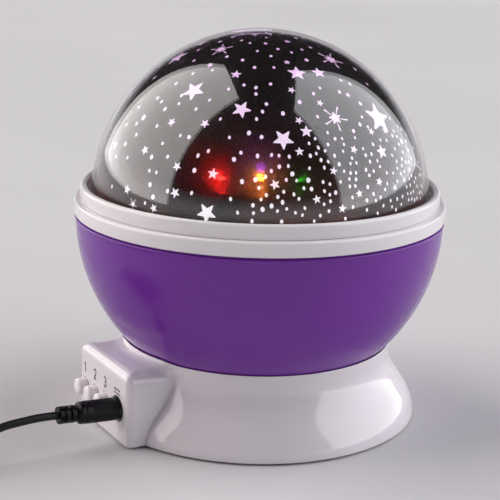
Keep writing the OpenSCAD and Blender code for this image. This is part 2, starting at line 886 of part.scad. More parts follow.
module bowl() color("rebeccapurple") {
    difference() {
        union() {
            intersection() {
                translate([0, 0, bowl_cz]) sphere(r = bowl_r);
                disc(bowl_r + past, floor_z, bowl_cz);
            }
            disc(bowl_r - lip_bead, bowl_cz - past, band_low);
            annulus(bowl_r - bowl_wall - past, bowl_r + lip_bead, bowl_cz, bowl_cz + bowl_rim_h / 2);
        }
        difference() {
            translate([0, 0, bowl_cz]) sphere(r = bowl_r - bowl_wall);
            disc(bowl_r, 0, floor_z + bowl_wall);
            disc(bowl_r + past, bowl_cz, bowl_cz + bowl_r);
        }
        disc(bowl_r - bowl_wall, bowl_cz, band_low + past);
        disc(hub_r - past, floor_z - past, floor_z + bowl_wall + past);
        for (a = gear_screw_turns) rotate(a) translate([gear_screw_ring, 0, 0])
            disc(small_screw, floor_z - past, floor_z + bowl_wall + past);
    }
    annulus(spigot_r + run_gap, hub_r, deck_top + washer_t + close, hub_top);
}

module band() color("white") {
    difference() {
        union() {
            disc(band_r, band_low, ledge_z);
            disc(bowl_r - bowl_wall - slack, band_low - band_skirt, band_low + sunk);
        }
        disc(band_bore, ledge_z - collar_skirt - slack, ledge_z + past);
        disc(band_bore - band_step, 0, ledge_z + past);
    }
}

module dome_collar() color("white") {
    round_r = lip_t / 2;
    rotate_extrude() polygon(concat(
        [
            [seat_r, ledge_z - collar_skirt],
            [skirt_out, ledge_z - collar_skirt],
            [skirt_out, ledge_z + close],
            [collar_r, ledge_z + close]
        ],
        arc([collar_r - round_r, ledge_z + collar_h - round_r], round_r, 0, 180, 10),
        [
            [dome_r + lip_gap, ledge_z + gutter_h],
            [skirt_in, ledge_z + gutter_h],
            [skirt_in, seat_z],
            [seat_r, seat_z]
        ]
    ));
}

// A half sphere with a straight skirt down to the collar's seat
module dome_shell(r, t) {
    difference() {
        union() {
            translate([0, 0, dome_cz]) sphere(r = r);
            disc(r, seat_z, dome_cz);
        }
        translate([0, 0, dome_cz]) sphere(r = r - t);
        disc(r - t, seat_z - past, dome_cz);
        disc(r + past, dome_cz - r - past, seat_z);
    }
}

module dome_cover() color([0.9, 0.9, 0.95, 0.4]) dome_shell(dome_r, dome_wall);

module star_film() color("black") dome_shell(film_r, film_t);

// ---- plug, cable and its far end ----

module at_socket() {
    translate([-panel_x, jack_y, jack_z]) rotate([0, plug_lean, 0]) along_x() children();
}

// Grip, taper and three relief rings, from the panel outwards
module plug_grip() color("black") {
    grip_end = barrel_out + plug_grip;
    pitch = relief_l / relief_rings;
    at_socket() difference() {
        rotate_extrude() polygon(concat(
            [
                [0, barrel_out],
                [plug_r - plug_edge, barrel_out],
                [plug_r, barrel_out + plug_edge],
                [plug_r, grip_end - plug_taper],
                [relief_r, grip_end]
            ],
            [for (i = [0:relief_rings - 1]) each [
                [relief_r - groove_d, grip_end + i * pitch],
                [relief_r - groove_d, grip_end + i * pitch + groove_w],
                [relief_r, grip_end + i * pitch + groove_w],
                [relief_r, grip_end + (i + 1) * pitch]
            ]],
            [[0, plug_length]]
        ));
        cylinder(r = barrel_r, h = barrel_out + barrel_held);
    }
}

module plug_barrel() color("silver") {
    at_socket() difference() {
        translate([0, 0, -barrel_in]) cylinder(r = barrel_r, h = barrel_in + barrel_out + barrel_held);
        translate([0, 0, -barrel_in - past]) cylinder(r = barrel_bore, h = barrel_in + past + 1);
    }
}

module cable_lead() color("black") tube(lead, cable_d / 2, 8, [0, 1, 0]);

module cable_coil() color("black") {
    translate([coil_x, coil_y, 0]) rotate_extrude()
        translate([coil_r - coil_half - coil_pitch / 2, tie_t]) square([2 * coil_half + coil_pitch, coil_h]);
}

module cable_tail() color("black") tube(tail, cable_d / 2, 8, [1, 0, 0]);

module coil_tie() color("dimgray") {
    inner = coil_r - coil_half - coil_pitch / 2 - sunk;
    outer = coil_r + coil_half + coil_pitch / 2 + fit_gap;
    translate([coil_x, coil_y, 0]) difference() {
        block([-tie_w / 2, inner - tie_t, 0], [tie_w / 2, outer + tie_t, coil_h + 2 * tie_t]);
        block([-tie_w / 2 - past, inner, tie_t], [tie_w / 2 + past, outer, coil_h + tie_t]);
    }
}

// A bar along +Y with four round edges, its underside on z = low
module round_bar(w, t, r, l, low) {
    rotate([-90, 0, 0]) translate([0, -low - t / 2, 0]) linear_extrude(l) polygon(concat(
        arc([w / 2 - r, t / 2 - r], r, 0, 90, 6),
        arc([-w / 2 + r, t / 2 - r], r, 90, 180, 6),
        arc([-w / 2 + r, -t / 2 + r], r, 180, 270, 6),
        arc([w / 2 - r, -t / 2 + r], r, 270, 360, 6)
    ));
}

module usb_grip() color("black") {
    translate([far_x, usb_y, 0]) round_bar(usb_w, usb_t, usb_edge, usb_l, 0);
}

module usb_shell() color("silver") {
    mouth = usb_shell_w / 2 - usb_shell_wall;
    translate([far_x, usb_y + usb_l, (usb_t - usb_shell_t) / 2]) difference() {
        block([-usb_shell_w / 2, 0, 0], [usb_shell_w / 2, usb_shell_l, usb_shell_t]);
        block([-mouth, 1, usb_tongue_h], [mouth, usb_shell_l + past, usb_shell_t - usb_shell_wall]);
    }
}

base_shell();
base_plate();
rubber_feet();
base_screws();
battery_contacts();
battery_springs();
hinge_pin();
battery_door();
control_board();
board_parts();
tact_switches();
dc_jack();
jack_pin();
motor();
motor_screws();
motor_shaft();
pinion();
thrust_washer();
led_post();
post_screws();
led_board();
led_board_screws();
led_red();
led_green();
led_violet();
led_white();
led_amber();
motor_wires();
battery_wires();
led_wires();
button_1();
button_2();
button_3();
bowl();
ring_gear();
gear_screws();
band();
dome_collar();
star_film();
dome_cover();
plug_grip();
plug_barrel();
cable_lead();
cable_coil();
cable_tail();
coil_tie();
usb_grip();
usb_shell();
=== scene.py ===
"""Looks of the star night light projector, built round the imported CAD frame.

Shapes are written in millimetres, and MM scales them to the scene's metres."""

import math
import random

import bmesh
import bpy
import numpy as np
from mathutils import Matrix, Vector


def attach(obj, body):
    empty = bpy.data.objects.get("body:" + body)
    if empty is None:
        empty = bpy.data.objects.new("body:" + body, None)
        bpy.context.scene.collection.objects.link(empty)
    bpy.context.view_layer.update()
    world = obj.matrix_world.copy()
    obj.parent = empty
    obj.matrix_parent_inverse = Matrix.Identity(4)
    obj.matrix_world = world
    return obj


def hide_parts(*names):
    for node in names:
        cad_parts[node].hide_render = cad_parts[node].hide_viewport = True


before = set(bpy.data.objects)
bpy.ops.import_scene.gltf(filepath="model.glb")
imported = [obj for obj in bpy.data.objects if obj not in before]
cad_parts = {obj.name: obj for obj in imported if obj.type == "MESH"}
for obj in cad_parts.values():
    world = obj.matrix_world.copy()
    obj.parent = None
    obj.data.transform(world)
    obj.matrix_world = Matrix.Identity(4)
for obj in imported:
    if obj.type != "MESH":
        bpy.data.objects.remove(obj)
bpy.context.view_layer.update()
MM = 0.001


def add_object(name, data):
    made = bpy.data.objects.new(name, data)
    bpy.context.scene.collection.objects.link(made)
    return made


# ---- camera

CAM_AT = Vector((-0.22139, -0.37150, 0.16985))
CAM_RIGHT = Vector((0.86537, -0.50057, 0.0240))
CAM_UP = Vector((0.11030, 0.23676, 0.9653))
CAM_FORWARD = Vector((0.48888, 0.83268, -0.2601))
CAM_LENS = 97.6
CAM_SENSOR = 36.0
PHOTO = 500
FOCAL_PIXELS = CAM_LENS / CAM_SENSOR * PHOTO

optics = bpy.data.cameras.new("camera")
optics.lens = CAM_LENS
optics.sensor_width = CAM_SENSOR
optics.sensor_fit = "HORIZONTAL"
optics.clip_start = 0.01
camera = add_object("camera", optics)
cam_turn = Matrix((CAM_RIGHT, CAM_UP, -CAM_FORWARD)).transposed()
camera.matrix_world = Matrix.Translation(CAM_AT) @ cam_turn.to_4x4()
bpy.context.scene.camera = camera


def pixel_ray(x, y):
    """Direction from the camera through a pixel of the 500 x 500 photograph."""
    across, up = x - PHOTO / 2, PHOTO / 2 - y
    return (CAM_FORWARD * FOCAL_PIXELS + CAM_RIGHT * across + CAM_UP * up).normalized()


# ---- sizes, in millimetres, as in the part's source

FOOT_R, NECK_R, WALL = 53.4, 44.4, 2.0
FLARE_LOW, FLARE_HIGH = 1.0, 21.5
FEET_H, DECK_Z, DECK_TOP = 0.8, 18.0, 20.0
PANEL_X, BOX_W, BOX_TOP = 56.1, 37.2, 24.6
BOX_CORNER, BOX_EDGE, BOX_SIDE = 5.0, 3.0, 2.2
SPIGOT_R, SPIGOT_BORE, SPIGOT_TOP = 7.0, 3.5, 31.1
BOWL_CZ, BOWL_R, BOWL_WALL, FLOOR_Z = 66.2, 59.8, 2.0, 23.2
NECK_GAP = 0.3
HUB_R, HUB_BORE, HUB_LOW, HUB_TOP = 9.46, 7.06, 20.65, 31.0
BAND_LOW, BAND_R, LEDGE_Z, BAND_BORE = 67.2, 60.3, 71.8, 56.75
COLLAR_R, LIP_T, COLLAR_TOP, SKIRT_OUT, SKIRT_IN = 58.3, 2.2, 76.5, 56.6, 55.1
DOME_CZ, DOME_R, DOME_WALL, SEAT_Z = 71.3, 54.9, 1.2, 68.8
FILM_R, FILM_T = 53.65, 0.4
BUTTON_Y, BUTTON_PITCH, BUTTON_Z, BUTTON_R, BUTTON_OUT = 13.9, 7.7, 10.7, 2.7, 3.4
JACK_Y, JACK_Z, JACK_R, PLUG_LEAN, PLUG_LENGTH = -10.8, 11.4, 4.0, 3.5, 19.9
CABLE_D = 2.5
COIL_X, COIL_Y, COIL_Z = -122.0, 5.956, 1.8
COIL_OUTER, COIL_INNER, COIL_PITCH, COIL_LAYERS, COIL_TURNS = 16.756, 9.444, 2.6, 4, 2.8125
FAR_X, USB_Y, USB_L, USB_W, USB_T = -138.756, 29.0, 22.0, 15.6, 8.4

# ---- curves


def ease(t):
    """From 0 to 1 with a soft start and end."""
    t = np.clip(t, 0, 1)
    return t * t * (3 - 2 * t)


def polar(r, degrees):
    """The point at a distance and an angle, as x and y."""
    return r * math.cos(math.radians(degrees)), r * math.sin(math.radians(degrees))


def arc(cx, cy, rx, a, b, n=8, ry=None):
    """Points from a to b degrees on a circle, or on an ellipse with ry."""
    ry = rx if ry is None else ry
    turns = [math.radians(a + (b - a) * i / n) for i in range(n + 1)]
    return [(cx + rx * math.cos(t), cy + ry * math.sin(t)) for t in turns]


def smooth_path(points, step):
    """Catmull-Rom through the points, cut into pieces of about one step."""
    p = [np.array(q, float) for q in points]
    p = [2 * p[0] - p[1]] + p + [2 * p[-1] - p[-2]]
    out = []
    for a, b, c, d in zip(p, p[1:], p[2:], p[3:]):
        n = max(2, int(np.linalg.norm(c - b) / step))
        for k in range(n):
            t = k / n
            bend = (2 * a - 5 * b + 4 * c - d) * t**2 + (3 * b - a - 3 * c + d) * t**3
            out.append(0.5 * (2 * b + (c - a) * t + bend))
    out.append(p[-2])
    return out


# ---- the cable

COIL_STEPS = 36  # points in each turn
COIL_CLIMB = 1 / 12  # half the rise to the next layer, in turns
# Listed: x and z from the plug to the coil, y and z from there to the far plug
LEAD_ROUTE = [(-82.5, 12.9), (-87.0, 12.7), (-93.0, 12.2), (-98.5, 10.8), (-103.5, 8.4)]
LEAD_ROUTE += [(-108.0, 5.8), (-113.0, 3.5), (-117.5, 2.2), (COIL_X, COIL_Z)]
TAIL_ROUTE = [(COIL_Y, COIL_Z + (COIL_LAYERS - 1) * COIL_PITCH), (11.0, 9.2), (16.0, 7.9), (20.5, 6.2)]
TAIL_ROUTE += [(24.0, 4.8), (USB_Y - 2, USB_T / 2), (USB_Y, USB_T / 2)]

lean = math.radians(PLUG_LEAN)
plug_way = np.array([-math.cos(lean), 0.0, math.sin(lean)])
lead_start = np.array([-PANEL_X, JACK_Y, JACK_Z]) + PLUG_LENGTH * plug_way


def coil_path():
    """The wound turns, layer on layer, clockwise seen from above."""
    total = COIL_LAYERS * COIL_TURNS
    count = int(total * COIL_STEPS)
    out = []
    for i in range(count + 1):
        t = total * i / count
        layer = min(COIL_LAYERS - 1, int(t / COIL_TURNS))
        share = t / COIL_TURNS - layer
        r = COIL_OUTER + (COIL_INNER - COIL_OUTER) * (share if layer % 2 == 0 else 1 - share)
        z = COIL_Z
        for switch in range(1, COIL_LAYERS):
            z += COIL_PITCH * ease((t - switch * COIL_TURNS + COIL_CLIMB) / (2 * COIL_CLIMB))
        x, y = polar(r, -90 - 360 * t)
        out.append(np.array([COIL_X + x, COIL_Y + y, z]))
    return out


lead = [lead_start, lead_start + 2.5 * plug_way] + [(x, JACK_Y, z) for x, z in LEAD_ROUTE]
tail = [(FAR_X, y, z) for y, z in TAIL_ROUTE]
cable_points = smooth_path(lead, 2.0)[:-1] + coil_path()[:-1] + smooth_path(tail, 1.5)
cable_curve = bpy.data.curves.new("power_cable", "CURVE")
cable_curve.dimensions = "3D"
cable_curve.bevel_depth = CABLE_D / 2 * MM
cable_curve.bevel_resolution = 5
cable_curve.use_fill_caps = True
spline = cable_curve.splines.new("POLY")
spline.points.add(len(cable_points) - 1)
for knot, p in zip(spline.points, cable_points):
    knot.co = (*(p * MM), 1)
spline.use_smooth = True

# ---- mesh helpers


def paint(piece, material):
    piece.data.materials.clear()
    piece.data.materials.append(material)


def dress(piece, body, material, stands_for=()):
    """Paints the piece, hangs it on its body's empty, and hides the CAD nodes that it stands for."""
    paint(piece, material)  # comes first: a curve that is painted later loses its measured box
    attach(piece, body)
    if stands_for:
        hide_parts(*stands_for)


def make_mesh(name, verts, faces):
    """A mesh from millimetres: doubled points are merged, and faces turned outward."""
    mesh = bpy.data.meshes.new(name)
    mesh.from_pydata([tuple(np.asarray(v, float) * MM) for v in verts], [], faces)
    mesh.update()
    bm = bmesh.new()
    bm.from_mesh(mesh)
    bmesh.ops.remove_doubles(bm, verts=bm.verts, dist=1e-7)
    bmesh.ops.recalc_face_normals(bm, faces=bm.faces)
    bm.to_mesh(mesh)
    bm.free()
    return mesh


def new_piece(name, verts, faces, body, slot, material, stands_for=(), sharp=40):
    """A visual piece, smooth but for edges over sharp degrees, or flat where sharp is None."""
    mesh = make_mesh(name, verts, faces)
    if sharp is not None:
        mesh.shade_smooth()
        mesh.set_sharp_from_angle(angle=math.radians(sharp))
    piece = add_object(name, mesh)
    dress(piece, body, material, stands_for)
    return piece


def grid_faces(rows, cols, wrap_rows=False):
    """Four-sided faces over rows of points. Each row closes to a ring."""
    faces = []
    for i in range(rows if wrap_rows else rows - 1):
        here, above = i * cols, (i + 1) % rows * cols
        for k in range(cols):
            after = (k + 1) % cols
            faces.append((here + k, here + after, above + after, above + k))
    return faces


def tube(start, stop, rows, cols, place):
    """Points and faces of a closed tube, whose skin is place(distance, share of a turn)."""
    verts = [place(start + (stop - start) * i / rows, k / cols) for i in range(rows + 1) for k in range(cols)]
    verts += [np.mean(verts[:cols], axis=0), np.mean(verts[-cols:], axis=0)]
    faces = grid_faces(rows + 1, cols)
    for k in range(cols):
        after, top = (k + 1) % cols, rows * cols
        faces += [(len(verts) - 2, after, k), (len(verts) - 1, top + k, top + after)]
    return verts, faces


def lathe(name, profile, body, slot, material, stands_for=(), segments=256, closed=True, sharp=35, at=None):
    """A profile of (r, z) turned about +Z, or about the Z axis of the frame at."""
    verts = [(*polar(r, 360 * k / segments), z) for r, z in profile for k in range(segments)]
    faces = grid_faces(len(profile), segments, closed)
    faces = [face for face in faces if len({verts[i] for i in face}) > 2]
    if at is not None:
        verts = [at @ Vector(v) for v in verts]
    return new_piece(name, verts, faces, body, slot, material, stands_for, sharp)


# ---- material helpers


def linear(r, g, b):
    """An sRGB colour from 0 to 255 as linear values."""
    shares = [c / 255 for c in (r, g, b)]
    return tuple(c / 12.92 if c <= 0.04045 else ((c + 0.055) / 1.055) ** 2.4 for c in shares)


def tint(colour, share):
    return tuple(min(1.0, c * share) for c in colour)


class Nodes:
    """A short way to write the nodes of a new material, or of the owner given."""

    def __init__(self, name, owner=None):
        self.owner = owner or bpy.data.materials.new(name)
        self.owner.use_nodes = True
        self.tree = self.owner.node_tree
        self.tree.nodes.clear()
        self.coordinates = self.node("TexCoord").outputs
        self.place = self.coordinates["Object"]

    def put(self, socket, value):
        """Gives an input another node's output or a constant. None leaves it."""
        if isinstance(value, bpy.types.NodeSocket):
            self.tree.links.new(value, socket)
        elif value is not None:
            socket.default_value = value

    def node(self, kind, **inputs):
        """A new node. Inputs go by name, with _ for a space."""
        made = self.tree.nodes.new("ShaderNode" + kind)
        for key, value in inputs.items():
            self.put(made.inputs[key.replace("_", " ")], value)
        return made

    def shader(self, kind, **inputs):
        return self.node("Bsdf" + kind, **inputs).outputs["BSDF"]

    def math(self, operation, a, b):
        made = self.node("Math")
        made.operation = operation
        self.put(made.inputs[0], a)
        self.put(made.inputs[1], b)
        return made.outputs[0]

    def mix(self, share, first, second):
        """Two shaders in one: the share is how much of the second shows."""
        made = self.node("MixShader", Fac=share)
        self.put(made.inputs[1], first)
        self.put(made.inputs[2], second)
        return made.outputs["Shader"]

    def noise(self, scale, detail, rough=0.5, stretch=None, warp=0.0):
        where = self.place
        if stretch:
            where = self.node("Mapping", Vector=where, Scale=stretch).outputs["Vector"]
        node = self.node("TexNoise", Vector=where, Scale=scale, Detail=detail, Roughness=rough)
        self.put(node.inputs["Distortion"], warp)
        return node.outputs["Fac"]

    def ramp(self, source, stops):
        """Colours or greys that follow the source. A stop is (place, value)."""
        node = self.node("ValToRGB", Fac=source)
        elements = node.color_ramp.elements
        while len(elements) < len(stops):
            elements.new(0.5)
        for element, (place, value) in zip(elements, stops):
            element.position = place
            element.color = (*value, 1) if isinstance(value, tuple) else (value, value, value, 1)
        return node.outputs["Color"]

    def mottled(self, source, colour, variation):
        """The colour, a little darker and a little lighter in patches."""
        return self.ramp(source, [(0.3, tint(colour, 1 - variation)), (0.7, tint(colour, 1 + variation))])

    def spread(self, source, low, high, start=0.0, end=1.0):
        """Maps the source from start..end to low..high."""
        node = self.node("MapRange", Value=source, From_Min=start, From_Max=end, To_Min=low, To_Max=high)
        return node.outputs["Result"]

    def bump(self, source, strength, distance, before=None):
        node = self.node("Bump", Height=source, Strength=strength, Distance=distance, Normal=before)
        return node.outputs["Normal"]

    def height(self):
        return self.node("SeparateXYZ", Vector=self.place).outputs["Z"]

    def backface(self):
        return self.node("NewGeometry").outputs["Backfacing"]

    def principled(self, colour, rough, normal=None, shine=0.5, **more):
        gloss = {"Roughness": rough, "Specular_IOR_Level": shine}
        return self.shader("Principled", Base_Color=colour, Normal=normal, **gloss, **more)

    def show(self, shader):
        """Ends the material with this shader."""
        self.node("OutputMaterial", Surface=shader)
        return self.owner

    def surface(self, *inputs, **more):
        """Ends the material with one Principled shader."""
        return self.show(self.principled(*inputs, **more))


def moulded(name, colour, gloss, wave, coat=0.0, variation=0.03, shine=0.5):
    """Glossy moulded plastic with slow waviness and fine scuffs."""
    m = Nodes(name)
    fine = m.noise(900, 2)
    scuff = m.noise(260, 6, 0.65, stretch=(1, 1, 5))
    dull = m.spread(scuff, gloss - 0.03, gloss + 0.07, 0.35, 0.75)
    return m.surface(
        m.mottled(m.noise(35, 3), colour, variation),
        m.math("ADD", dull, m.spread(fine, -0.015, 0.015)),
        m.bump(fine, 0.02, 0.00005, m.bump(m.noise(60, 2), wave, 0.0004)),
        shine,
        Coat_Weight=coat,
        Coat_Roughness=0.05,
    )


def grained(name, colour, rough=0.5, grain=1400, depth=0.00012, strength=0.35, shine=0.5):
    """Matt plastic or rubber with a fine spark-eroded grain."""
    m = Nodes(name)
    grains = m.noise(grain, 2, 0.6)
    base = m.mottled(m.noise(60, 4), colour, 0.06)
    dull = m.spread(grains, rough - 0.08, rough + 0.08)
    return m.surface(base, dull, m.bump(grains, strength, depth), shine)


def metal(name, colour, rough=0.28, brush=(1, 1, 40)):
    """Plated steel with drawn lines and small stains."""
    m = Nodes(name)
    lines = m.noise(420, 4, 0.6, stretch=brush)
    stained = m.mottled(m.noise(120, 4), colour, 0.08)
    dull = m.spread(lines, rough - 0.08, rough + 0.12)
    return m.surface(stained, dull, m.bump(lines, 0.12, 0.00005), Metallic=1.0)


def circuit(name, mask, copper):
    """Solder mask over copper tracks with bright pads."""
    m = Nodes(name)
    colours = {"Color1": (*mask, 1), "Color2": (*tint(mask, 0.85), 1), "Mortar": (*copper, 1)}
    bricks = m.node("TexBrick", Vector=m.place, Scale=260, Mortar_Size=0.025, **colours)
    weave = m.noise(1500, 2)
    return m.surface(bricks.outputs["Color"], m.spread(weave, 0.22, 0.4), m.bump(weave, 0.15, 0.00006))


def cable_jacket():
    """Soft black jacket: dull sheen, faint draw marks and dust."""
    m = Nodes("cable_black")
    fine = m.noise(900, 4, 0.6)
    dusty = m.ramp(m.noise(300, 6, 0.7), [(0.55, linear(10, 10, 12)), (0.8, linear(24, 23, 26))])
    return m.surface(dusty, m.spread(fine, 0.28, 0.48), m.bump(fine, 0.15, 0.0001), 0.3)


def lamp_lens(name, colour):
    """Tinted clear resin with a gloss and moulding swirls."""
    m = Nodes(name)
    swirl = m.noise(500, 3, 0.5, warp=0.6)
    streaks = m.ramp(swirl, [(0.3, tint(colour, 0.75)), (0.7, colour)])
    resin = m.principled(streaks, m.spread(swirl, 0.06, 0.2), m.bump(swirl, 0.08, 0.0001))
    clear = m.shader("Transparent", Color=(*(0.35 + 0.65 * c for c in colour), 1))
    return m.show(m.mix(0.04, clear, resin))


def lit_chip(name, colour, strength):
    """The glowing chip in a light, a little uneven."""
    m = Nodes(name)
    grain = m.noise(1500, 2)
    uneven = m.ramp(grain, [(0.3, tint(colour, 0.9)), (0.7, colour)])
    glow = m.spread(grain, 0.85 * strength, 1.15 * strength)
    return m.surface(uneven, m.spread(grain, 0.3, 0.5), Emission_Color=uneven, Emission_Strength=glow)


def clear_shell():
    """Clear polished plastic with slow waves and a few fine scratches."""
    m = Nodes("dome_clear")
    wave = m.bump(m.noise(22, 1, 0.4), 0.22, 0.0016)
    scratch = m.noise(420, 8, 0.8, stretch=(1, 6, 1))
    fresnel = m.node("Fresnel", IOR=m.spread(m.backface(), 1.52, 1 / 1.52), Normal=wave)
    gloss = m.shader(
        "Glossy",
        Color=m.ramp(m.noise(40, 2), [(0.2, (0.95, 0.94, 0.96)), (0.8, (1.0, 1.0, 1.0))]),
        Roughness=m.spread(scratch, 0.015, 0.07, 0.45, 0.8),
        Normal=wave,
    )
    clear = m.shader("Transparent", Color=(0.97, 0.965, 0.975, 1))
    return m.show(m.mix(fresnel.outputs["Fac"], clear, gloss))


# How the film spreads light: index, roughness, lowest and highest share
FILM_MISTS = [(1.12, 0.36, 0.02, 0.07), (1.18, 0.72, 0.03, 0.05)]


def film():
    """Nearly black film that lets a little light through, with a painted warm glow low down: emission in
    patches and fine glinting specks, standing in for LED light scattered in the film.
    """
    m = Nodes("film_black")
    fine = m.noise(1300, 3, 0.6)
    # Painted glow: warm emission low on the film, in patches and fine specks, stands in for the LEDs' light
    # scattered in it
    low = m.spread(m.height(), 1.0, 0.0, 0.078, 0.108)
    painted_glow_patches = m.math("MULTIPLY", low, m.spread(m.noise(55, 4, 0.6, warp=0.4), 0.0, 1.0, 0.38, 0.72))
    painted_glint_specks = m.math("MULTIPLY", low, m.ramp(m.noise(2600, 1, 0.4), [(0.70, 0.0), (0.78, 1.0)]))
    layer = m.principled(
        (0.004, 0.003, 0.004, 1),
        m.spread(fine, 0.16, 0.26),
        m.bump(fine, 0.04, 0.00004),
        0.18,
        # the emission here is the painted glow and painted glints
        Emission_Color=m.ramp(m.noise(70, 3), [(0.35, (1.0, 0.12, 0.08)), (0.7, (1.0, 0.38, 0.20))]),
        Emission_Strength=m.math("ADD", m.math("MULTIPLY", painted_glow_patches, 0.06), m.math("MULTIPLY", painted_glint_specks, 0.12)),
    )
    for ior, rough, least, most in FILM_MISTS:
        mist = m.shader("Refraction", IOR=ior, Roughness=rough, Color=(1.0, 0.9, 0.85, 1))
        layer = m.mix(m.spread(m.noise(2400, 2, 0.5), least, most, 0.4, 0.75), layer, mist)
    return m.show(m.mix(m.spread(m.backface(), 0.96, 0.0), m.shader("Transparent"), layer))


def paint_star_glow():
    """Windows in the film, painted as glowing: emission stands in for the light from inside shining through
    them, lilac towards the top, whiter low down.
    """
    m = Nodes("painted_star_glow")
    height = m.math("ADD", m.height(), m.spread(m.noise(60, 2), -0.006, 0.006))
    colours = [(0.0, linear(250, 246, 250)), (0.4, linear(247, 228, 248)), (1.0, linear(243, 194, 244))]
    grain = m.noise(900, 2)
    return m.surface(
        (0.16, 0.14, 0.17, 1),
        m.spread(grain, 0.25, 0.45),
        # Painted glow: this emission gives the star windows the light of the lamps inside
        Emission_Color=m.ramp(m.spread(height, 0.0, 1.0, 0.080, 0.122), colours),
        Emission_Strength=m.spread(grain, 0.88, 1.04),
    )


# ---- materials

shell_white = moulded("shell_white", linear(229, 221, 228), gloss=0.08, wave=0.03, coat=0.3)
ring_white = moulded("ring_white", linear(232, 226, 231), gloss=0.2, wave=0.05, coat=0.25)
button_white = moulded("button_white", linear(243, 236, 238), gloss=0.26, wave=0.04)
bowl_purple = moulded("bowl_purple", linear(112, 43, 153), gloss=0.2, wave=0.03, variation=0.05, shine=0.38)
plate_grey = grained("plate_grey", linear(226, 222, 227), 0.45)
nylon = grained("nylon", linear(226, 219, 198), 0.42, grain=900)
rubber_foot = grained("rubber_foot", linear(52, 52, 55), 0.75, grain=700, strength=0.6)
black_plastic = grained("black_plastic", linear(34, 34, 36), 0.42, grain=1200)
steel = metal("steel", (0.62, 0.61, 0.60))
usb_steel = metal("usb_steel", (0.66, 0.66, 0.67), 0.2, brush=(1, 30, 1))
wire_red = grained("wire_red", linear(190, 24, 22), 0.35, grain=500)
wire_black = grained("wire_black", linear(30, 30, 32), 0.35, grain=500)
tie_grey = grained("tie_grey", linear(60, 60, 64), 0.7, grain=1600, strength=0.8)
board_green = circuit("board_green", linear(14, 92, 44), linear(52, 140, 78))
board_white = circuit("board_white", linear(228, 227, 220), linear(205, 203, 192))
cable_black = cable_jacket()
plug_black = grained("plug_black", linear(9, 9, 10), 0.32, 1100, depth=0.00006, strength=0.25, shine=0.22)
ink_black = grained("ink_black", linear(30, 28, 32), 0.5, grain=1500, depth=0.00004)
dome_clear = clear_shell()
film_black = film()
painted_star_glow = paint_star_glow()

# ---- base moulding

SIDE_BLEND, TOP_BLEND = 0.45, 5.0  # how softly the box runs into the foot, at sides and top
RIM_BLEND = 0.3
BOX_BACK = -20.0  # where the box ends inside the foot
SWEEP_LOW, SWEEP_HEIGHT = 20.5, 3.5  # where the softer blend sets in
NUDGE = 0.01  # step of a measured slope
TRACE_STEP, TRACE_MOST = 0.16, 420
ROWS_OUT, ROWS_IN = 120, 40
NEAR_HALF, NEAR_COLUMNS, FAR_COLUMNS = 31, 350, 200  # half the box's angle, in degrees
HOLE_GAP, JACK_GAP = 0.25, 0.2
CUT_FROM, CUT_TO, CUT_SIDES = -60.0, -51.0, 64


def flare(z):
    """The foot's radius at a height."""
    t = np.clip((z - FLARE_LOW) / (FLARE_HIGH - FLARE_LOW), 0, 1)
    return NECK_R + (FOOT_R - NECK_R) * (1 + np.cos(np.pi * t)) / 2


def soft_min(a, b, k):
    h = np.clip(0.5 + 0.5 * (b - a) / k, 0, 1)
    return b + (a - b) * h - k * h * (1 - h)


def corner(u, v, r):
    """Distance from a quarter plane whose corner has the radius r."""
    u, v = u + r, v + r
    return np.hypot(np.maximum(u, 0), np.maximum(v, 0)) + np.minimum(np.maximum(u, v), 0) - r


def base_field(x, y, z, inset=0.0):
    """Negative inside the base, where the flared foot and the control box run together.

    The box meets the flare in a crease at its sides, and runs into the neck in a soft sweep on top."""
    r = np.hypot(x, y)
    slope = (flare(z + NUDGE) - flare(z - NUDGE)) / (2 * NUDGE)
    foot = (r - flare(z)) / np.sqrt(1 + slope * slope) + inset
    side = np.abs(y) - BOX_W / 2
    front = -x - PANEL_X
    plan = corner(side, front, BOX_SIDE)
    edge = BOX_EDGE + (BOX_CORNER - BOX_EDGE) * ease((side - front + 2.5) / 5)
    box = np.maximum(corner(plan, z - BOX_TOP, edge) + inset, x - BOX_BACK)
    blend = SIDE_BLEND + (TOP_BLEND - SIDE_BLEND) * ease((z - SWEEP_LOW) / SWEEP_HEIGHT)
    both = soft_min(foot, box, blend)
    bowl = BOWL_R + NECK_GAP - np.sqrt(r * r + (z - BOWL_CZ) ** 2)
    return -soft_min(-both, -bowl, RIM_BLEND)


def base_normal(points):
    """The outline's own normals at points near it."""
    slope = np.zeros_like(points)
    for axis in range(3):
        step = np.zeros(3)
        step[axis] = 2 * NUDGE
        slope[:, axis] = base_field(*(points + step).T) - base_field(*(points - step).T)
    return slope / np.maximum(np.linalg.norm(slope, axis=1), 1e-9)[:, None]


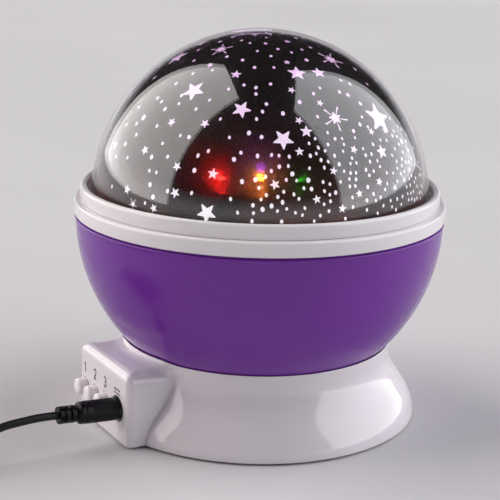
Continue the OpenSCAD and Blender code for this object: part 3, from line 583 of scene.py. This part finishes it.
def trace(angles, inset, z_end, r_end):
    """Follows the base's outline upwards from the foot, at all the angles at once.

    Gives r and z at each step, and the steps until each line is above z_end or within r_end."""
    count = len(angles)
    ca, sa = np.cos(angles), np.sin(angles)

    def value(at):
        return base_field(at[0] * ca, at[0] * sa, at[1], inset)

    def slope(at):
        steps = NUDGE * np.eye(2)[:, :, None]
        return np.array([value(at + step) - value(at - step) for step in steps]) / (2 * NUDGE)

    low, high = np.full(count, 30.0), np.full(count, 75.0)
    foot = np.full(count, FEET_H + 1e-3)
    for _ in range(40):
        middle = (low + high) / 2
        inside = value((middle, foot)) < 0
        low, high = np.where(inside, middle, low), np.where(inside, high, middle)
    at = np.array([(low + high) / 2, foot])
    going = np.array([np.zeros(count), np.ones(count)])
    line, ends = [at], np.full(count, TRACE_MOST)
    for k in range(TRACE_MOST):
        in_r, in_z = slope(at)
        along = np.array([-in_z, in_r]) / np.maximum(np.hypot(in_r, in_z), 1e-6)
        going = along * np.where((along * going).sum(axis=0) < 0, -1, 1)
        at = at + TRACE_STEP * going
        for _ in range(3):
            steep = slope(at)
            at = at - value(at) * steep / np.maximum((steep * steep).sum(axis=0), 1e-6)
        line.append(at)
        ends = np.where((ends == TRACE_MOST) & ((at[1] > z_end) | (at[0] < r_end)), k + 1, ends)
        if (ends < TRACE_MOST).all():
            break
    return np.array(line), ends


def resample(traced, k, count):
    """Evenly spaced points (r, z) along the traced line k."""
    line, ends = traced
    r, z = line[: ends[k] + 1, :, k].T
    s = np.concatenate([[0], np.cumsum(np.hypot(np.diff(r), np.diff(z)))])
    want = np.linspace(0, s[-1], count)
    return list(zip(np.interp(want, s, r), np.interp(want, s, z)))


def base_mesh():
    """A column for each angle: up the outer skin, over the deck, down the inner skin."""
    near = np.linspace(-NEAR_HALF, NEAR_HALF, NEAR_COLUMNS)
    far = np.linspace(NEAR_HALF, 360 - NEAR_HALF, FAR_COLUMNS)[1:-1]
    angles = np.radians(180 + np.concatenate([near, far]))
    outer = trace(angles, 0.0, 99.0, NECK_R - WALL)
    inner = trace(angles, WALL, DECK_Z - 0.05, 20.0)
    deck = [(NECK_R - WALL, DECK_TOP), (SPIGOT_R, DECK_TOP), (SPIGOT_R, SPIGOT_TOP - 0.3)]
    deck += [(SPIGOT_R - 0.3, SPIGOT_TOP), (SPIGOT_BORE, SPIGOT_TOP), (SPIGOT_BORE, DECK_Z)]
    columns = []
    for k in range(len(angles)):
        inside = resample(inner, k, ROWS_IN)
        under_deck = (inside[-1][0] - 0.5, DECK_Z)
        columns.append(resample(outer, k, ROWS_OUT) + deck + [under_deck] + inside[::-1])
    ways = [(math.cos(a), math.sin(a)) for a in angles]
    verts = [(r * c, r * s, z) for row in zip(*columns) for (r, z), (c, s) in zip(row, ways)]
    return verts, grid_faces(len(columns[0]), len(angles), wrap_rows=True)


def cutter(name, radius, y, z):
    """A round bar along X that opens a hole in the panel."""

    def skin(x, turn):
        across, up = polar(radius, 360 * turn)
        return x, y + across, z + up

    return add_object(name, make_mesh(name, *tube(CUT_FROM, CUT_TO, 1, CUT_SIDES, skin)))


def cut(piece, tools):
    """Takes the tools out of the piece, and removes them."""
    for tool in tools:
        modifier = piece.modifiers.new("cut", "BOOLEAN")
        modifier.operation = "DIFFERENCE"
        modifier.solver = "EXACT"
        modifier.object = tool
    bpy.context.view_layer.update()
    shaped = bpy.data.meshes.new_from_object(piece.evaluated_get(bpy.context.evaluated_depsgraph_get()))
    piece.modifiers.clear()
    piece.data = shaped
    for tool in tools:
        bpy.data.objects.remove(tool)


def shade_base(piece):
    """Outer faces take the outline's own normals, so that the gloss runs evenly."""
    mesh = piece.data
    mesh.shade_smooth()
    co = np.zeros(len(mesh.vertices) * 3)
    mesh.vertices.foreach_get("co", co)
    co = co.reshape(-1, 3) / MM
    outer = base_normal(co)
    on_outer = np.abs(base_field(*co.T)) < 0.03
    normals = np.zeros((len(mesh.loops), 3))
    for polygon in mesh.polygons:
        flat = np.array(polygon.normal)
        for loop in polygon.loop_indices:
            v = mesh.loops[loop].vertex_index
            normals[loop] = outer[v] if on_outer[v] and outer[v] @ flat > 0.75 else flat
    mesh.normals_split_custom_set([tuple(n) for n in normals])


base = new_piece("base_moulding", *base_mesh(), "base", "shell_white", shell_white, ["base_shell"])
holes = [cutter(f"hole_{i}", BUTTON_R + HOLE_GAP, BUTTON_Y - i * BUTTON_PITCH, BUTTON_Z) for i in range(3)]
holes.append(cutter("hole_jack", JACK_R + JACK_GAP, JACK_Y, JACK_Z))
cut(base, holes)
shade_base(base)

# ---- bowl, band, collar and dome

BEAD_R = 0.34  # the bowl's lip bead
RIM_IN = 0.5  # the rim stands back under the band


def bowl_profile():
    """Floor, round side, lip bead and rim, then down the inside to the hub."""
    inner_r = BOWL_R - BOWL_WALL
    foot_angle = math.degrees(math.asin((FLOOR_Z - BOWL_CZ) / BOWL_R))
    foot_r = BOWL_R * math.cos(math.radians(foot_angle))
    outside = [(r, FLOOR_Z) for r in (HUB_R, 20.0, 30.0, foot_r - 0.6)] + [(foot_r - 0.15, FLOOR_Z + 0.06)]
    outside += arc(0, BOWL_CZ, BOWL_R, foot_angle + 0.5, -0.9, 72)
    outside += arc(BOWL_R + 0.06, BOWL_CZ - 0.05, BEAD_R, -75, 75)
    outside += [(BOWL_R - 0.2, BOWL_CZ + 0.36), (BOWL_R - RIM_IN, BOWL_CZ + 0.42)]
    outside += [(BOWL_R - RIM_IN, BAND_LOW - 0.1), (BOWL_R - RIM_IN, BAND_LOW)]
    outside += [(inner_r + 0.1, BAND_LOW), (inner_r, BAND_LOW - 0.1)]
    floor_angle = math.degrees(math.asin((FLOOR_Z + BOWL_WALL - BOWL_CZ) / inner_r))
    inside = arc(0, BOWL_CZ, inner_r, 0, floor_angle, 48)
    hub = [(HUB_R + 0.6, FLOOR_Z + BOWL_WALL), (HUB_R, FLOOR_Z + BOWL_WALL + 0.6), (HUB_R, HUB_TOP - 0.3)]
    hub += [(HUB_R - 0.3, HUB_TOP), (HUB_BORE, HUB_TOP), (HUB_BORE, HUB_LOW), (HUB_R, HUB_LOW)]
    return outside + inside + hub


def band_profile():
    """The lower ring: a ledge for the collar, with a round edge, and a skirt inside the bowl's rim."""
    return (
        [(BOWL_R - 2.3, BAND_LOW - 5), (BOWL_R - 2.3, BAND_LOW), (BAND_R - 0.35, BAND_LOW)]
        + arc(BAND_R - 0.3, BAND_LOW + 0.3, 0.3, -80, 0, 4)
        + arc(BAND_R - 0.9, LEDGE_Z - 0.9, 0.9, 0, 90)
        + [(COLLAR_R - 0.6, LEDGE_Z), (BAND_BORE + 0.15, LEDGE_Z), (BAND_BORE, LEDGE_Z - 0.15)]
        + [(BAND_BORE, LEDGE_Z - 4.5), (BAND_BORE - 1.4, LEDGE_Z - 4.5), (BAND_BORE - 1.4, BAND_LOW - 5)]
    )


def collar_profile():
    """The upper ring: a skirt down in the band, a round lip, and the seat of dome and film."""
    lip_r = LIP_T / 2
    seat_r = FILM_R - FILM_T - 0.35
    return (
        [(seat_r, LEDGE_Z - 4.2), (SKIRT_OUT - 0.2, LEDGE_Z - 4.2), (SKIRT_OUT, LEDGE_Z - 4.0)]
        + [(SKIRT_OUT, LEDGE_Z + 0.05), (COLLAR_R - 0.2, LEDGE_Z + 0.05)]
        + arc(COLLAR_R - 0.2, LEDGE_Z + 0.25, 0.2, -90, 0, 3)
        + arc(COLLAR_R - lip_r, COLLAR_TOP - lip_r, lip_r, 0, 180, 16)
        + [(COLLAR_R - LIP_T, LEDGE_Z + 1.5), (COLLAR_R - LIP_T - 0.3, LEDGE_Z + 1.2)]
        + [(SKIRT_IN, LEDGE_Z + 1.2), (SKIRT_IN, SEAT_Z), (seat_r, SEAT_Z)]
    )


def shell_profile(radius, thickness):
    """Half a hollow ball on its seat."""
    outside = [(radius, SEAT_Z)] + arc(0, DOME_CZ, radius, 0, 90, 72)
    inside = arc(0, DOME_CZ, radius - thickness, 90, 0, 72) + [(radius - thickness, SEAT_Z)]
    return outside + inside


lathe("bowl_skin", bowl_profile(), "head", "bowl_purple", bowl_purple, ["bowl"])
lathe("band_ring", band_profile(), "head", "ring_white", ring_white, ["band"], sharp=50)
lathe("collar_ring", collar_profile(), "dome", "ring_white", ring_white, ["dome_collar"], sharp=50)
glass, skin = shell_profile(DOME_R, DOME_WALL), shell_profile(FILM_R, FILM_T)
lathe("dome_glass", glass, "dome", "dome_clear", dome_clear, ["dome_cover"], sharp=60)
lathe("film_skin", skin, "dome", "film_black", film_black, ["star_film"], sharp=60)

# ---- stars on the film

STAR_R = FILM_R + 0.02
DOME_MIDDLE = Vector((0, 0, DOME_CZ))
STAR_POINTS = 5
DOT_LOW, DOT_HIGH = 0.66, 0.85  # a dot's height as a share of its width

# Places read on an enlarged crop of the photograph: across, down, radius and turn in degrees
CROP_X, CROP_Y, CROP_ZOOM = 85, 15, 5
BIG_STARS = [
    (543, 378, 62, -23), (783, 472, 50, -22), (992, 622, 55, 36), (608, 990, 52, 34), (1467, 514, 90, -18),
    (1060, 290, 50, -9), (1168, 288, 38, -10), (1107, 582, 33, -6), (1485, 683, 38, 0), (580, 142, 46, -20),
    (463, 212, 60, -28),
]
SMALL_STARS = [
    (1070, 527, 22), (1073, 683, 24), (1033, 375, 21), (1010, 236, 18), (1175, 440, 21), (1315, 400, 18),
    (640, 794, 29), (950, 848, 27), (600, 543, 25), (433, 535, 25), (293, 512, 23), (300, 675, 26),
    (153, 650, 21), (210, 872, 26), (450, 889, 28), (460, 757, 25), (343, 966, 23), (1243, 780, 22),
    (1345, 672, 23), (1432, 583, 22), (1500, 576, 22), (1583, 632, 20), (1472, 833, 23), (1372, 893, 22),
    (1160, 922, 23), (1287, 968, 23), (755, 297, 29), (625, 249, 20), (228, 400, 26), (1012, 132, 20),
    (1100, 107, 28), (850, 98, 20), (1455, 325, 22), (1380, 243, 20),
]
RAYED_STARS = [
    (680, 171, 60), (1230, 222, 72), (1252, 515, 72), (1550, 862, 26), (240, 945, 32), (1597, 825, 24),
]
DOTS = [
    (540, 293), (455, 343), (363, 415), (383, 433), (270, 460), (208, 548), (258, 543), (360, 555),
    (257, 598), (202, 645), (388, 642), (333, 710), (413, 708), (155, 708), (212, 713), (322, 778),
    (357, 787), (325, 848), (135, 857), (340, 910), (300, 940), (413, 880), (477, 602), (520, 610),
    (483, 402), (470, 443), (400, 470), (555, 470), (623, 425), (637, 275), (677, 520), (718, 370),
    (565, 703), (617, 680), (547, 777), (533, 890), (728, 920), (763, 988), (835, 1030), (722, 612),
    (820, 590), (858, 520), (883, 610), (780, 688), (745, 722), (863, 705), (933, 700), (932, 780),
    (785, 833), (853, 823), (870, 865), (907, 900), (933, 955), (988, 937), (888, 972), (888, 483),
    (907, 445), (855, 395), (855, 363), (928, 345), (795, 350), (848, 262), (945, 262), (788, 225),
    (710, 208), (862, 180), (930, 205), (825, 140), (783, 127), (903, 142), (965, 170), (1033, 187),
    (1085, 173), (1127, 162), (545, 228), (348, 313), (567, 175), (535, 150), (675, 133), (660, 103),
    (743, 93), (740, 110), (783, 93), (907, 87), (907, 112), (928, 97), (985, 93), (1055, 115), (1108, 225),
    (990, 492), (1073, 435), (1143, 393), (1163, 508), (1175, 365), (1213, 588), (1167, 663), (1037, 795),
    (1045, 897), (1197, 763), (1117, 826), (1280, 327), (1325, 345), (1273, 385), (1377, 443), (1385, 510),
    (1375, 547), (1343, 580), (1415, 560), (1525, 517), (1565, 460), (1350, 270), (1410, 345), (1495, 350),
    (1555, 405),
]
CROWD_AT = (1420, 830)  # the middle of the crowded dots

rng = random.Random(7)
star_verts, star_faces = [], []
taken = []


def film_spot(aim):
    """The place on the film in the direction aim from the dome's middle, in metres."""
    return DOME_MIDDLE * MM + aim * STAR_R * MM


def on_dome(across, down):
    """The direction in which the ray through a place on the crop meets the film, or passes closest."""
    way = pixel_ray(CROP_X + across / CROP_ZOOM, CROP_Y + down / CROP_ZOOM)
    off = CAM_AT - DOME_MIDDLE * MM
    b = way.dot(off)
    gap = b * b - off.length_squared + (STAR_R * MM) ** 2
    return (off + way * (-b - math.sqrt(max(0.0, gap)))).normalized()


def real_size(aim, size):
    """The size on the film, in millimetres, of a length on the crop."""
    depth = (film_spot(aim) - CAM_AT).dot(CAM_FORWARD)
    return size / CROP_ZOOM * depth / FOCAL_PIXELS / MM


def star_outline(outer, inner, tip_cut=0.056):
    """Corners round a star with its tips slightly cut off, as (radius, angle)."""
    out = []
    half = 180 / STAR_POINTS
    shoulder = outer * (1 - tip_cut)
    for tip in [360 * k / STAR_POINTS for k in range(STAR_POINTS)]:
        out += [(shoulder, tip - half * 0.1), (outer, tip), (shoulder, tip + half * 0.1), (inner, tip + half)]
    return out


def oval_outline(a, b, count=12):
    """Points round an oval, as (radius, angle)."""
    points = arc(0, 0, a, 0, 360, count, ry=b)[:-1]
    return [(math.hypot(x, y), math.degrees(math.atan2(y, x))) for x, y in points]


def stamp(aim, outline, turn):
    """Lays an outline on the film, in rings a millimetre apart that follow its curve."""
    side = Vector((0, 0, 1)).cross(aim).normalized()
    up = aim.cross(side)
    n = len(outline)
    rings = max(1, math.ceil(max(r for r, _ in outline)))
    first = len(star_verts)
    spot = aim * STAR_R
    star_verts.append(DOME_MIDDLE + spot)
    for ring in range(1, rings + 1):
        for r, angle in outline:
            x, y = polar(r * ring / rings, angle + turn + 90)
            star_verts.append(DOME_MIDDLE + (spot + side * x + up * y).normalized() * STAR_R)
    for k in range(n):
        star_faces.append((first, first + 1 + k, first + 1 + (k + 1) % n))
    for start in range(first + 1, first + 1 + (rings - 1) * n, n):
        for k in range(n):
            a, b = start + k, start + (k + 1) % n
            star_faces.append((a, a + n, b + n, b))


def lay_star(aim, r, waist=0.43, turn=None, room=0.9):
    """A five-pointed star. Waist and room are shares of its radius."""
    turn = rng.uniform(0, 72) if turn is None else turn
    stamp(aim, star_outline(r, r * waist), turn)
    taken.append((aim, r * room))


def lay_rayed(aim, r):
    """A small star with thin rays between and beyond its points."""
    turn = rng.uniform(-20, 20)
    stamp(aim, star_outline(r * 0.52, r * 0.25), turn)
    stamp(aim, star_outline(r, r * 0.032, 0), turn + 36)
    taken.append((aim, r * 0.6))


def lay_dot(aim, r):
    outline = oval_outline(r, r * rng.uniform(DOT_LOW, DOT_HIGH))
    stamp(aim, outline, rng.uniform(-16, 16))
    taken.append((aim, r))


for across, down, size, turn in BIG_STARS:
    d = on_dome(across, down)
    lay_star(d, real_size(d, size), 0.46, turn)
for across, down, size in RAYED_STARS:
    d = on_dome(across, down)
    lay_rayed(d, real_size(d, size))
for across, down, size in SMALL_STARS:
    d = on_dome(across, down)
    lay_star(d, real_size(d, size), 0.44, rng.uniform(-35, 35), room=1.0)
for across, down in DOTS:
    lay_dot(on_dome(across, down), rng.uniform(0.58, 0.8))


def any_direction():
    """Drawn evenly over the dome, but for its lowest edge."""
    z = rng.uniform(0.09, 0.995)
    a = rng.uniform(0, 2 * math.pi)
    flat = math.sqrt(1 - z * z)
    return Vector((flat * math.cos(a), flat * math.sin(a), z))


def free(aim, room):
    """True if nothing lies within room, in millimetres on the film."""
    return all(aim.angle(other) * FILM_R >= room + size for other, size in taken)


def hidden(aim):
    """True where the photograph doesn't show the dome."""
    return aim.dot((CAM_AT - film_spot(aim)).normalized()) <= 0.12


crowd_side = on_dome(*CROWD_AT)
crowd_side = Vector((crowd_side.x, crowd_side.y, 0)).normalized()


def crowded(aim):
    """The two opposite sides of the dome where the dots stand close together, low down."""
    side = Vector((aim.x, aim.y, 0)).normalized()
    return aim.z < 0.52 and abs(side.dot(crowd_side)) > 0.70 + 0.3 * aim.z


def scatter(count, kinds, room, where, tries=6000):
    """Lays count prints at free places. A kind is (smallest, largest, function)."""
    placed = 0
    for _ in range(tries):
        if placed == count:
            return
        d = any_direction()
        if not where(d):
            continue
        low, high, lay = kinds[rng.randrange(len(kinds))]
        r = rng.uniform(low, high)
        if free(d, r + room):
            lay(d, r)
            placed += 1


scatter(11, [(2.9, 4.2, lay_star)], 2.4, hidden)
scatter(6, [(3.4, 4.4, lay_rayed)], 1.8, hidden)
scatter(46, [(1.3, 1.8, lay_star)], 1.6, hidden)
scatter(290, [(0.52, 0.62, lay_dot), (0.56, 0.7, lay_dot)], 0.68, crowded, 18000)
scatter(190, [(0.55, 0.8, lay_dot), (0.66, 0.86, lay_dot)], 1.75, hidden, 16000)
# The star windows carry a painted glow in place of the light from inside
new_piece("star_prints", star_verts, star_faces, "dome", "film_black", painted_star_glow, sharp=None)

# ---- buttons

CAP_EDGE, STEM_R, STOP_R = 1.0, 2.2, 1.5
CAP_BACK, STEM_BACK, STOP_BACK = -2.3, -3.5, -3.9  # ends of cap, stem and stop, from the panel's face


def button_profile():
    """A round cap with a soft edge, then its stem and stop behind the panel."""
    cap = [(0.0, BUTTON_OUT), (BUTTON_R * 0.4, BUTTON_OUT - 0.05)]
    cap += arc(BUTTON_R - CAP_EDGE, BUTTON_OUT - CAP_EDGE - 0.12, CAP_EDGE, 78, 0, 10)
    stem = [(BUTTON_R, CAP_BACK), (STEM_R, CAP_BACK), (STEM_R, STEM_BACK), (STOP_R, STEM_BACK)]
    return cap + stem + [(STOP_R, STOP_BACK), (0.0, STOP_BACK)]


def from_panel(y, z, tilt=0.0):
    """The frame of what stands out of the panel: its +Z is -X, tilted up."""
    return Matrix.Translation(Vector((-PANEL_X, y, z))) @ Matrix.Rotation(tilt - math.pi / 2, 4, "Y")


for i in range(3):
    at = from_panel(BUTTON_Y - i * BUTTON_PITCH, BUTTON_Z)
    body = f"button_{i + 1}"
    shape = {"segments": 64, "closed": False, "sharp": 50, "at": at}
    lathe(f"button_cap_{i + 1}", button_profile(), body, "button_white", button_white, [body], **shape)

# ---- plug

PLUG_FRONT, GRIP_END = 0.45, 13.9  # from the panel's face, along the plug
GRIP_R, RELIEF_R = 3.6, 2.7
FRONT_EDGE = 0.8
KNURL_START, KNURL_STOP, KNURL_PITCH, KNURL_DEPTH = 1.6, 4.4, 0.62, 0.17
STEP_START, STEP_DEPTH, SHOULDER_L = 2.6, 0.12, 1.0
RING_PITCH, RING_W, RING_DEPTH = 2.0, 0.72, 0.62
END_L, NOTCHES, NOTCH_DEPTH = 1.5, 6, 0.55
PLUG_AROUND, PLUG_STEPS = 160, 176


def plug_radius(s, turn):
    """Grip with a diamond knurl, a stepped shoulder, relief rings and a notched end."""
    if s < PLUG_FRONT + FRONT_EDGE:
        return GRIP_R - FRONT_EDGE + math.sqrt(max(0.0, FRONT_EDGE**2 - (FRONT_EDGE + PLUG_FRONT - s) ** 2))
    if s < GRIP_END - STEP_START:
        knurled = ease((s - PLUG_FRONT - KNURL_START) / 0.3) * ease((GRIP_END - KNURL_STOP - s) / 0.3)
        u, v = 2 * math.pi * turn * GRIP_R / KNURL_PITCH, s / KNURL_PITCH
        ridge = abs(math.sin(math.pi * (u + v)) * math.sin(math.pi * (u - v)))
        return GRIP_R - KNURL_DEPTH * knurled * (1 - ridge)
    if s < GRIP_END - SHOULDER_L:
        return GRIP_R - STEP_DEPTH * ease((s - GRIP_END + STEP_START) / 0.3)
    if s < GRIP_END:
        drop = RELIEF_R - GRIP_R + STEP_DEPTH
        return GRIP_R - STEP_DEPTH + drop * ease((s - GRIP_END + SHOULDER_L) / SHOULDER_L)
    r = RELIEF_R - 0.1 * ease((s - PLUG_LENGTH + 0.2) / 0.2)
    if s > PLUG_LENGTH - END_L:
        notch = abs(turn * NOTCHES % 1 - 0.5)
        return r - NOTCH_DEPTH * ease((0.14 - notch) / 0.05) * ease((s - PLUG_LENGTH + 1.2) / 0.15)
    phase = (s - GRIP_END) % RING_PITCH
    return r - RING_DEPTH * ease(phase / 0.18) * ease((RING_W - phase) / 0.18)


plug_at = from_panel(JACK_Y, JACK_Z, lean)


def plug_skin(s, turn):
    return plug_at @ Vector((*polar(plug_radius(s, turn), 360 * turn), s))


plug_mesh = tube(PLUG_FRONT, PLUG_LENGTH, PLUG_STEPS, PLUG_AROUND, plug_skin)
plug = new_piece("plug_body", *plug_mesh, "base", "plug_black", plug_black, ["plug_grip"], sharp=45)

# ---- far plug, tie and cord

USB_AROUND, USB_STEPS = 96, 110
USB_POWER = 4.5  # of the superellipse that is its section
NECK_L, NECK_W, NECK_T = 2.2, 0.55, 0.62
END_ROUND, END_W, END_T = 1.0, 0.93, 0.92
RIBBED, RIBS_FROM, RIBS_TO, RIB_PITCH, RIB_DEPTH = 0.76, 5, 17, 1.6, 0.22
DISH_AT, DISH_L, DISH_W, DISH_DEPTH = 11, 5.5, 4.5, 0.35
STRAP_W, STRAP_T, STRAP_BEND, STRAP_GAP = 5.0, 0.48, 1.6, 0.25
COIL_HEIGHT = 10.9
STRAP_STEP = 0.8


def usb_skin(s, turn):
    """A rounded bar with a dished thumb place, ribs on its flanks and a narrow neck."""
    near, far = ease(s / NECK_L), ease((USB_L - s) / END_ROUND)
    half_w = USB_W / 2 * (NECK_W + (1 - NECK_W) * near) * (END_W + (1 - END_W) * far)
    half_t = USB_T / 2 * (NECK_T + (1 - NECK_T) * near) * (END_T + (1 - END_T) * far)
    x, z = (math.copysign(abs(q) ** (2 / USB_POWER), q) for q in polar(1, 360 * turn))
    dish = ease(1 - math.hypot((s - DISH_AT) / DISH_L, half_w * x / DISH_W)) if z > 0 else 0.0
    ribs = 0.5 + 0.5 * math.cos(2 * math.pi * (s - RIBS_FROM) / RIB_PITCH) if abs(x) > RIBBED else 0.0
    ribs *= ease((s - RIBS_FROM) / 0.8) * ease((RIBS_TO - s) / 0.8)
    return FAR_X + x * (half_w - RIB_DEPTH * ribs), USB_Y + s, USB_T / 2 + z * half_t - DISH_DEPTH * dish


def tie_mesh():
    """A flat strap round the coil's bundle, with rounded turns."""
    y0 = COIL_Y + COIL_INNER - 1.8 - STRAP_GAP
    y1 = COIL_Y + COIL_OUTER + 1.4 + STRAP_GAP
    z0, z1 = STRAP_GAP, COIL_HEIGHT + STRAP_GAP
    right, left, top, low = y1 - STRAP_BEND, y0 + STRAP_BEND, z1 - STRAP_BEND, z0 + STRAP_BEND
    path = []
    for cy, cz, a in ((right, top, 0), (left, top, 90), (left, low, 180), (right, low, 270)):
        path += arc(cy, cz, STRAP_BEND, a, a + 90, 6)
    fine = []
    for (ya, za), (yb, zb) in zip(path, path[1:] + path[:1]):
        n = max(1, int(math.hypot(yb - ya, zb - za) / STRAP_STEP))
        fine += [(ya + (yb - ya) * k / n, za + (zb - za) * k / n) for k in range(n)]
    edge, face = STRAP_T / 2 - 0.1, STRAP_T / 2
    half, flat = STRAP_W / 2, STRAP_W / 2 - 0.2
    section = [(-half, edge), (-flat, face), (flat, face), (half, edge)]
    section += [(-x, -h) for x, h in section]
    verts = []
    for i, (y, z) in enumerate(fine):
        (ya, za), (yb, zb) = fine[i - 1], fine[(i + 1) % len(fine)]
        along = Vector((0, yb - ya, zb - za)).normalized()
        verts += [(COIL_X + x, y + along.z * h, z - along.y * h) for x, h in section]
    return verts, grid_faces(len(fine), len(section), wrap_rows=True)


usb_mesh = tube(0, USB_L, USB_STEPS, USB_AROUND, usb_skin)
usb = new_piece("far_plug_grip", *usb_mesh, "base", "plug_black", plug_black, ["usb_grip"])
tie = new_piece("coil_strap", *tie_mesh(), "base", "tie_grey", tie_grey, ["coil_tie"], sharp=50)

cable = add_object("power_cable", cable_curve)
dress(cable, "base", cable_black, ["cable_lead", "cable_coil", "cable_tail"])

# ---- printed marks on the panel

INK_W, INK_H = 0.52, 0.03
MARK_MIDDLE = Vector((0.31, 0.5))  # of the unit box that the strokes are drawn in
MARK_Z, NUMBER_SIZE, SUPPLY_SIZE, SUPPLY_SHIFT = 17.1, 3.2, 4.0, 1.1

ONE = [[(0.10, 0.78), (0.33, 1.0), (0.33, 0.0)]]
TWO = [arc(0.31, 0.72, 0.26, 165, -40, 10) + [(0.06, 0.03)], [(0.02, 0.03), (0.6, 0.03)]]
THREE = [arc(0.30, 0.75, 0.24, 150, -90, 10, ry=0.23), arc(0.30, 0.26, 0.28, 90, -150, 10, ry=0.26)]
SUPPLY = [[(0.0, 0.62), (1.1, 0.62)]] + [[(x, 0.3), (x + 0.28, 0.3)] for x in (0.0, 0.41, 0.82)]


def mark(name, shape, y, size):
    """Thin raised ink on the panel, drawn as strokes in a unit box as they are read."""
    verts, faces = [], []
    for stroke in shape:
        points = [Vector(p) - MARK_MIDDLE for p in stroke]
        first = len(verts)
        for i, p in enumerate(points):
            way = (points[min(i + 1, len(points) - 1)] - points[max(i - 1, 0)]).normalized()
            out = Vector((-way.y, way.x)) * (INK_W / 2 / size)
            verts += [(-PANEL_X - INK_H, y - q.x * size, MARK_Z + q.y * size) for q in (p + out, p - out)]
        for a in range(first, first + 2 * len(points) - 2, 2):
            faces.append((a, a + 1, a + 3, a + 2))
    new_piece(name, verts, faces, "base", "film_black", ink_black, sharp=None)


for i, shape in enumerate((ONE, TWO, THREE)):
    mark(f"mark_{i + 1}", shape, BUTTON_Y - i * BUTTON_PITCH, NUMBER_SIZE)
mark("mark_supply", SUPPLY, JACK_Y + SUPPLY_SHIFT, SUPPLY_SIZE)

# ---- CAD nodes that stay, and the lights

STAYING = {
    plate_grey: ["base_plate", "battery_door", "led_post"],
    rubber_foot: ["rubber_feet"],
    steel: [
        "base_screws", "battery_contacts", "battery_springs", "hinge_pin", "jack_pin", "motor",
        "motor_screws", "motor_shaft", "post_screws", "led_board_screws", "gear_screws", "plug_barrel",
    ],
    usb_steel: ["usb_shell"],
    board_green: ["control_board"],
    board_white: ["led_board"],
    black_plastic: ["board_parts", "tact_switches", "dc_jack"],
    nylon: ["pinion", "thrust_washer", "ring_gear"],
    wire_red: ["motor_wires"],
    wire_black: ["battery_wires", "led_wires"],
}
# Name, turn and distance from the axis, colour, how strongly the chip glows
LIGHTS = [
    ("red", 149, 12.7, (1.0, 0.03, 0.02), 300),
    ("green", -31, 12.7, (0.10, 0.8, 0.08), 12),
    ("violet", 59, 12.7, (0.45, 0.10, 1.0), 60),
    ("white", -121, 12.7, (1.0, 0.62, 0.30), 12),
    ("amber", 0, 0.0, (1.0, 0.50, 0.07), 330),
]
CHIP_Z, CHIP_R, CHIP_EDGE = 77.3, 1.2, 0.45

for material, names in STAYING.items():
    for name in names:
        paint(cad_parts[name], material)
chip_rim = [(0.0, -CHIP_EDGE)] + arc(CHIP_R - CHIP_EDGE, 0, CHIP_EDGE, -90, 90, 6) + [(0.0, CHIP_EDGE)]
for name, turned, out, colour, strength in LIGHTS:
    lens, chip = "lens_" + name, "chip_" + name
    paint(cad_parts["led_" + name], lamp_lens(lens, colour))
    at = Matrix.Translation(Vector((*polar(out, turned), CHIP_Z)))
    lathe(chip, chip_rim, "base", lens, lit_chip(chip, colour, strength), segments=24, closed=False, at=at)

# ---- floor, light, world, in metres

FLOOR_R, FLOOR_SIDES = 3.4, 120


def floor_material():
    """Pale sheet whose far edge fades into the world's pale horizon."""
    m = Nodes("floor_pale")
    fine = m.noise(240, 3)
    pale = m.ramp(m.noise(3, 3), [(0.3, linear(205, 203, 205)), (0.7, linear(211, 209, 211))])
    sheet = m.principled(pale, m.spread(fine, 0.6, 0.75), m.bump(fine, 0.03, 0.0002), 0.3)
    distance = m.node("VectorMath")
    distance.operation = "LENGTH"
    m.put(distance.inputs[0], m.place)
    fading = m.spread(distance.outputs["Value"], 0.0, 1.0, 0.6 * FLOOR_R, 0.98 * FLOOR_R)
    return m.show(m.mix(fading, sheet, m.shader("Transparent")))


def panel_light(name, at, outward, across, width, height, radiance, colour):
    """A soft box: outward points away from the object, across runs along its width."""
    data = bpy.data.lights.new(name, "AREA")
    data.shape = "RECTANGLE"
    data.size = width
    data.size_y = height
    data.energy = radiance * math.pi * width * height
    data.color = colour
    z = Vector(outward).normalized()
    x = Vector(across)
    x = (x - z * x.dot(z)).normalized()
    turn = Matrix((x, z.cross(x), z)).transposed()
    add_object(name, data).matrix_world = Matrix.Translation(Vector(at)) @ turn.to_4x4()


floor_mesh = bpy.data.meshes.new("floor")
floor_rim = [(x, y, 0) for x, y in arc(0, 0, FLOOR_R, 0, 360, FLOOR_SIDES)[:-1]]
floor_mesh.from_pydata(floor_rim, [], [tuple(range(FLOOR_SIDES))])
floor = add_object("floor", floor_mesh)
paint(floor, floor_material())

WARM, COOL, LILAC = (1.0, 0.965, 0.93), (0.97, 0.98, 1.0), (0.92, 0.64, 1.0)
panel_light("light_left", (-5.6, 9.68, 16.03), (-0.925, 0.374, 0.062), (-0.37, -0.93, 0), 20, 32, 2.55, WARM)
panel_light("light_right", (5.76, -2.48, 9.76), (0.904, -0.425, 0.047), (0.42, 0.9, 0), 11.6, 19.2, 2.3, COOL)
panel_light("light_back", (2.15, 3.91, 1.22), (0.468, 0.85, 0.242), (0.88, -0.48, 0), 0.5, 0.24, 1.6, LILAC)

world = bpy.data.worlds.new("world")
bpy.context.scene.world = world
w = Nodes("world", world)
w.place = w.coordinates["Generated"]
strength = w.spread(w.height(), 0.80, 0.02, 0.04, 0.20)
background = w.node("Background", Color=(0.9, 0.91, 0.93, 1), Strength=strength)
w.node("OutputWorld", Surface=background.outputs["Background"])

bpy.context.scene.view_settings.view_transform = "Standard"
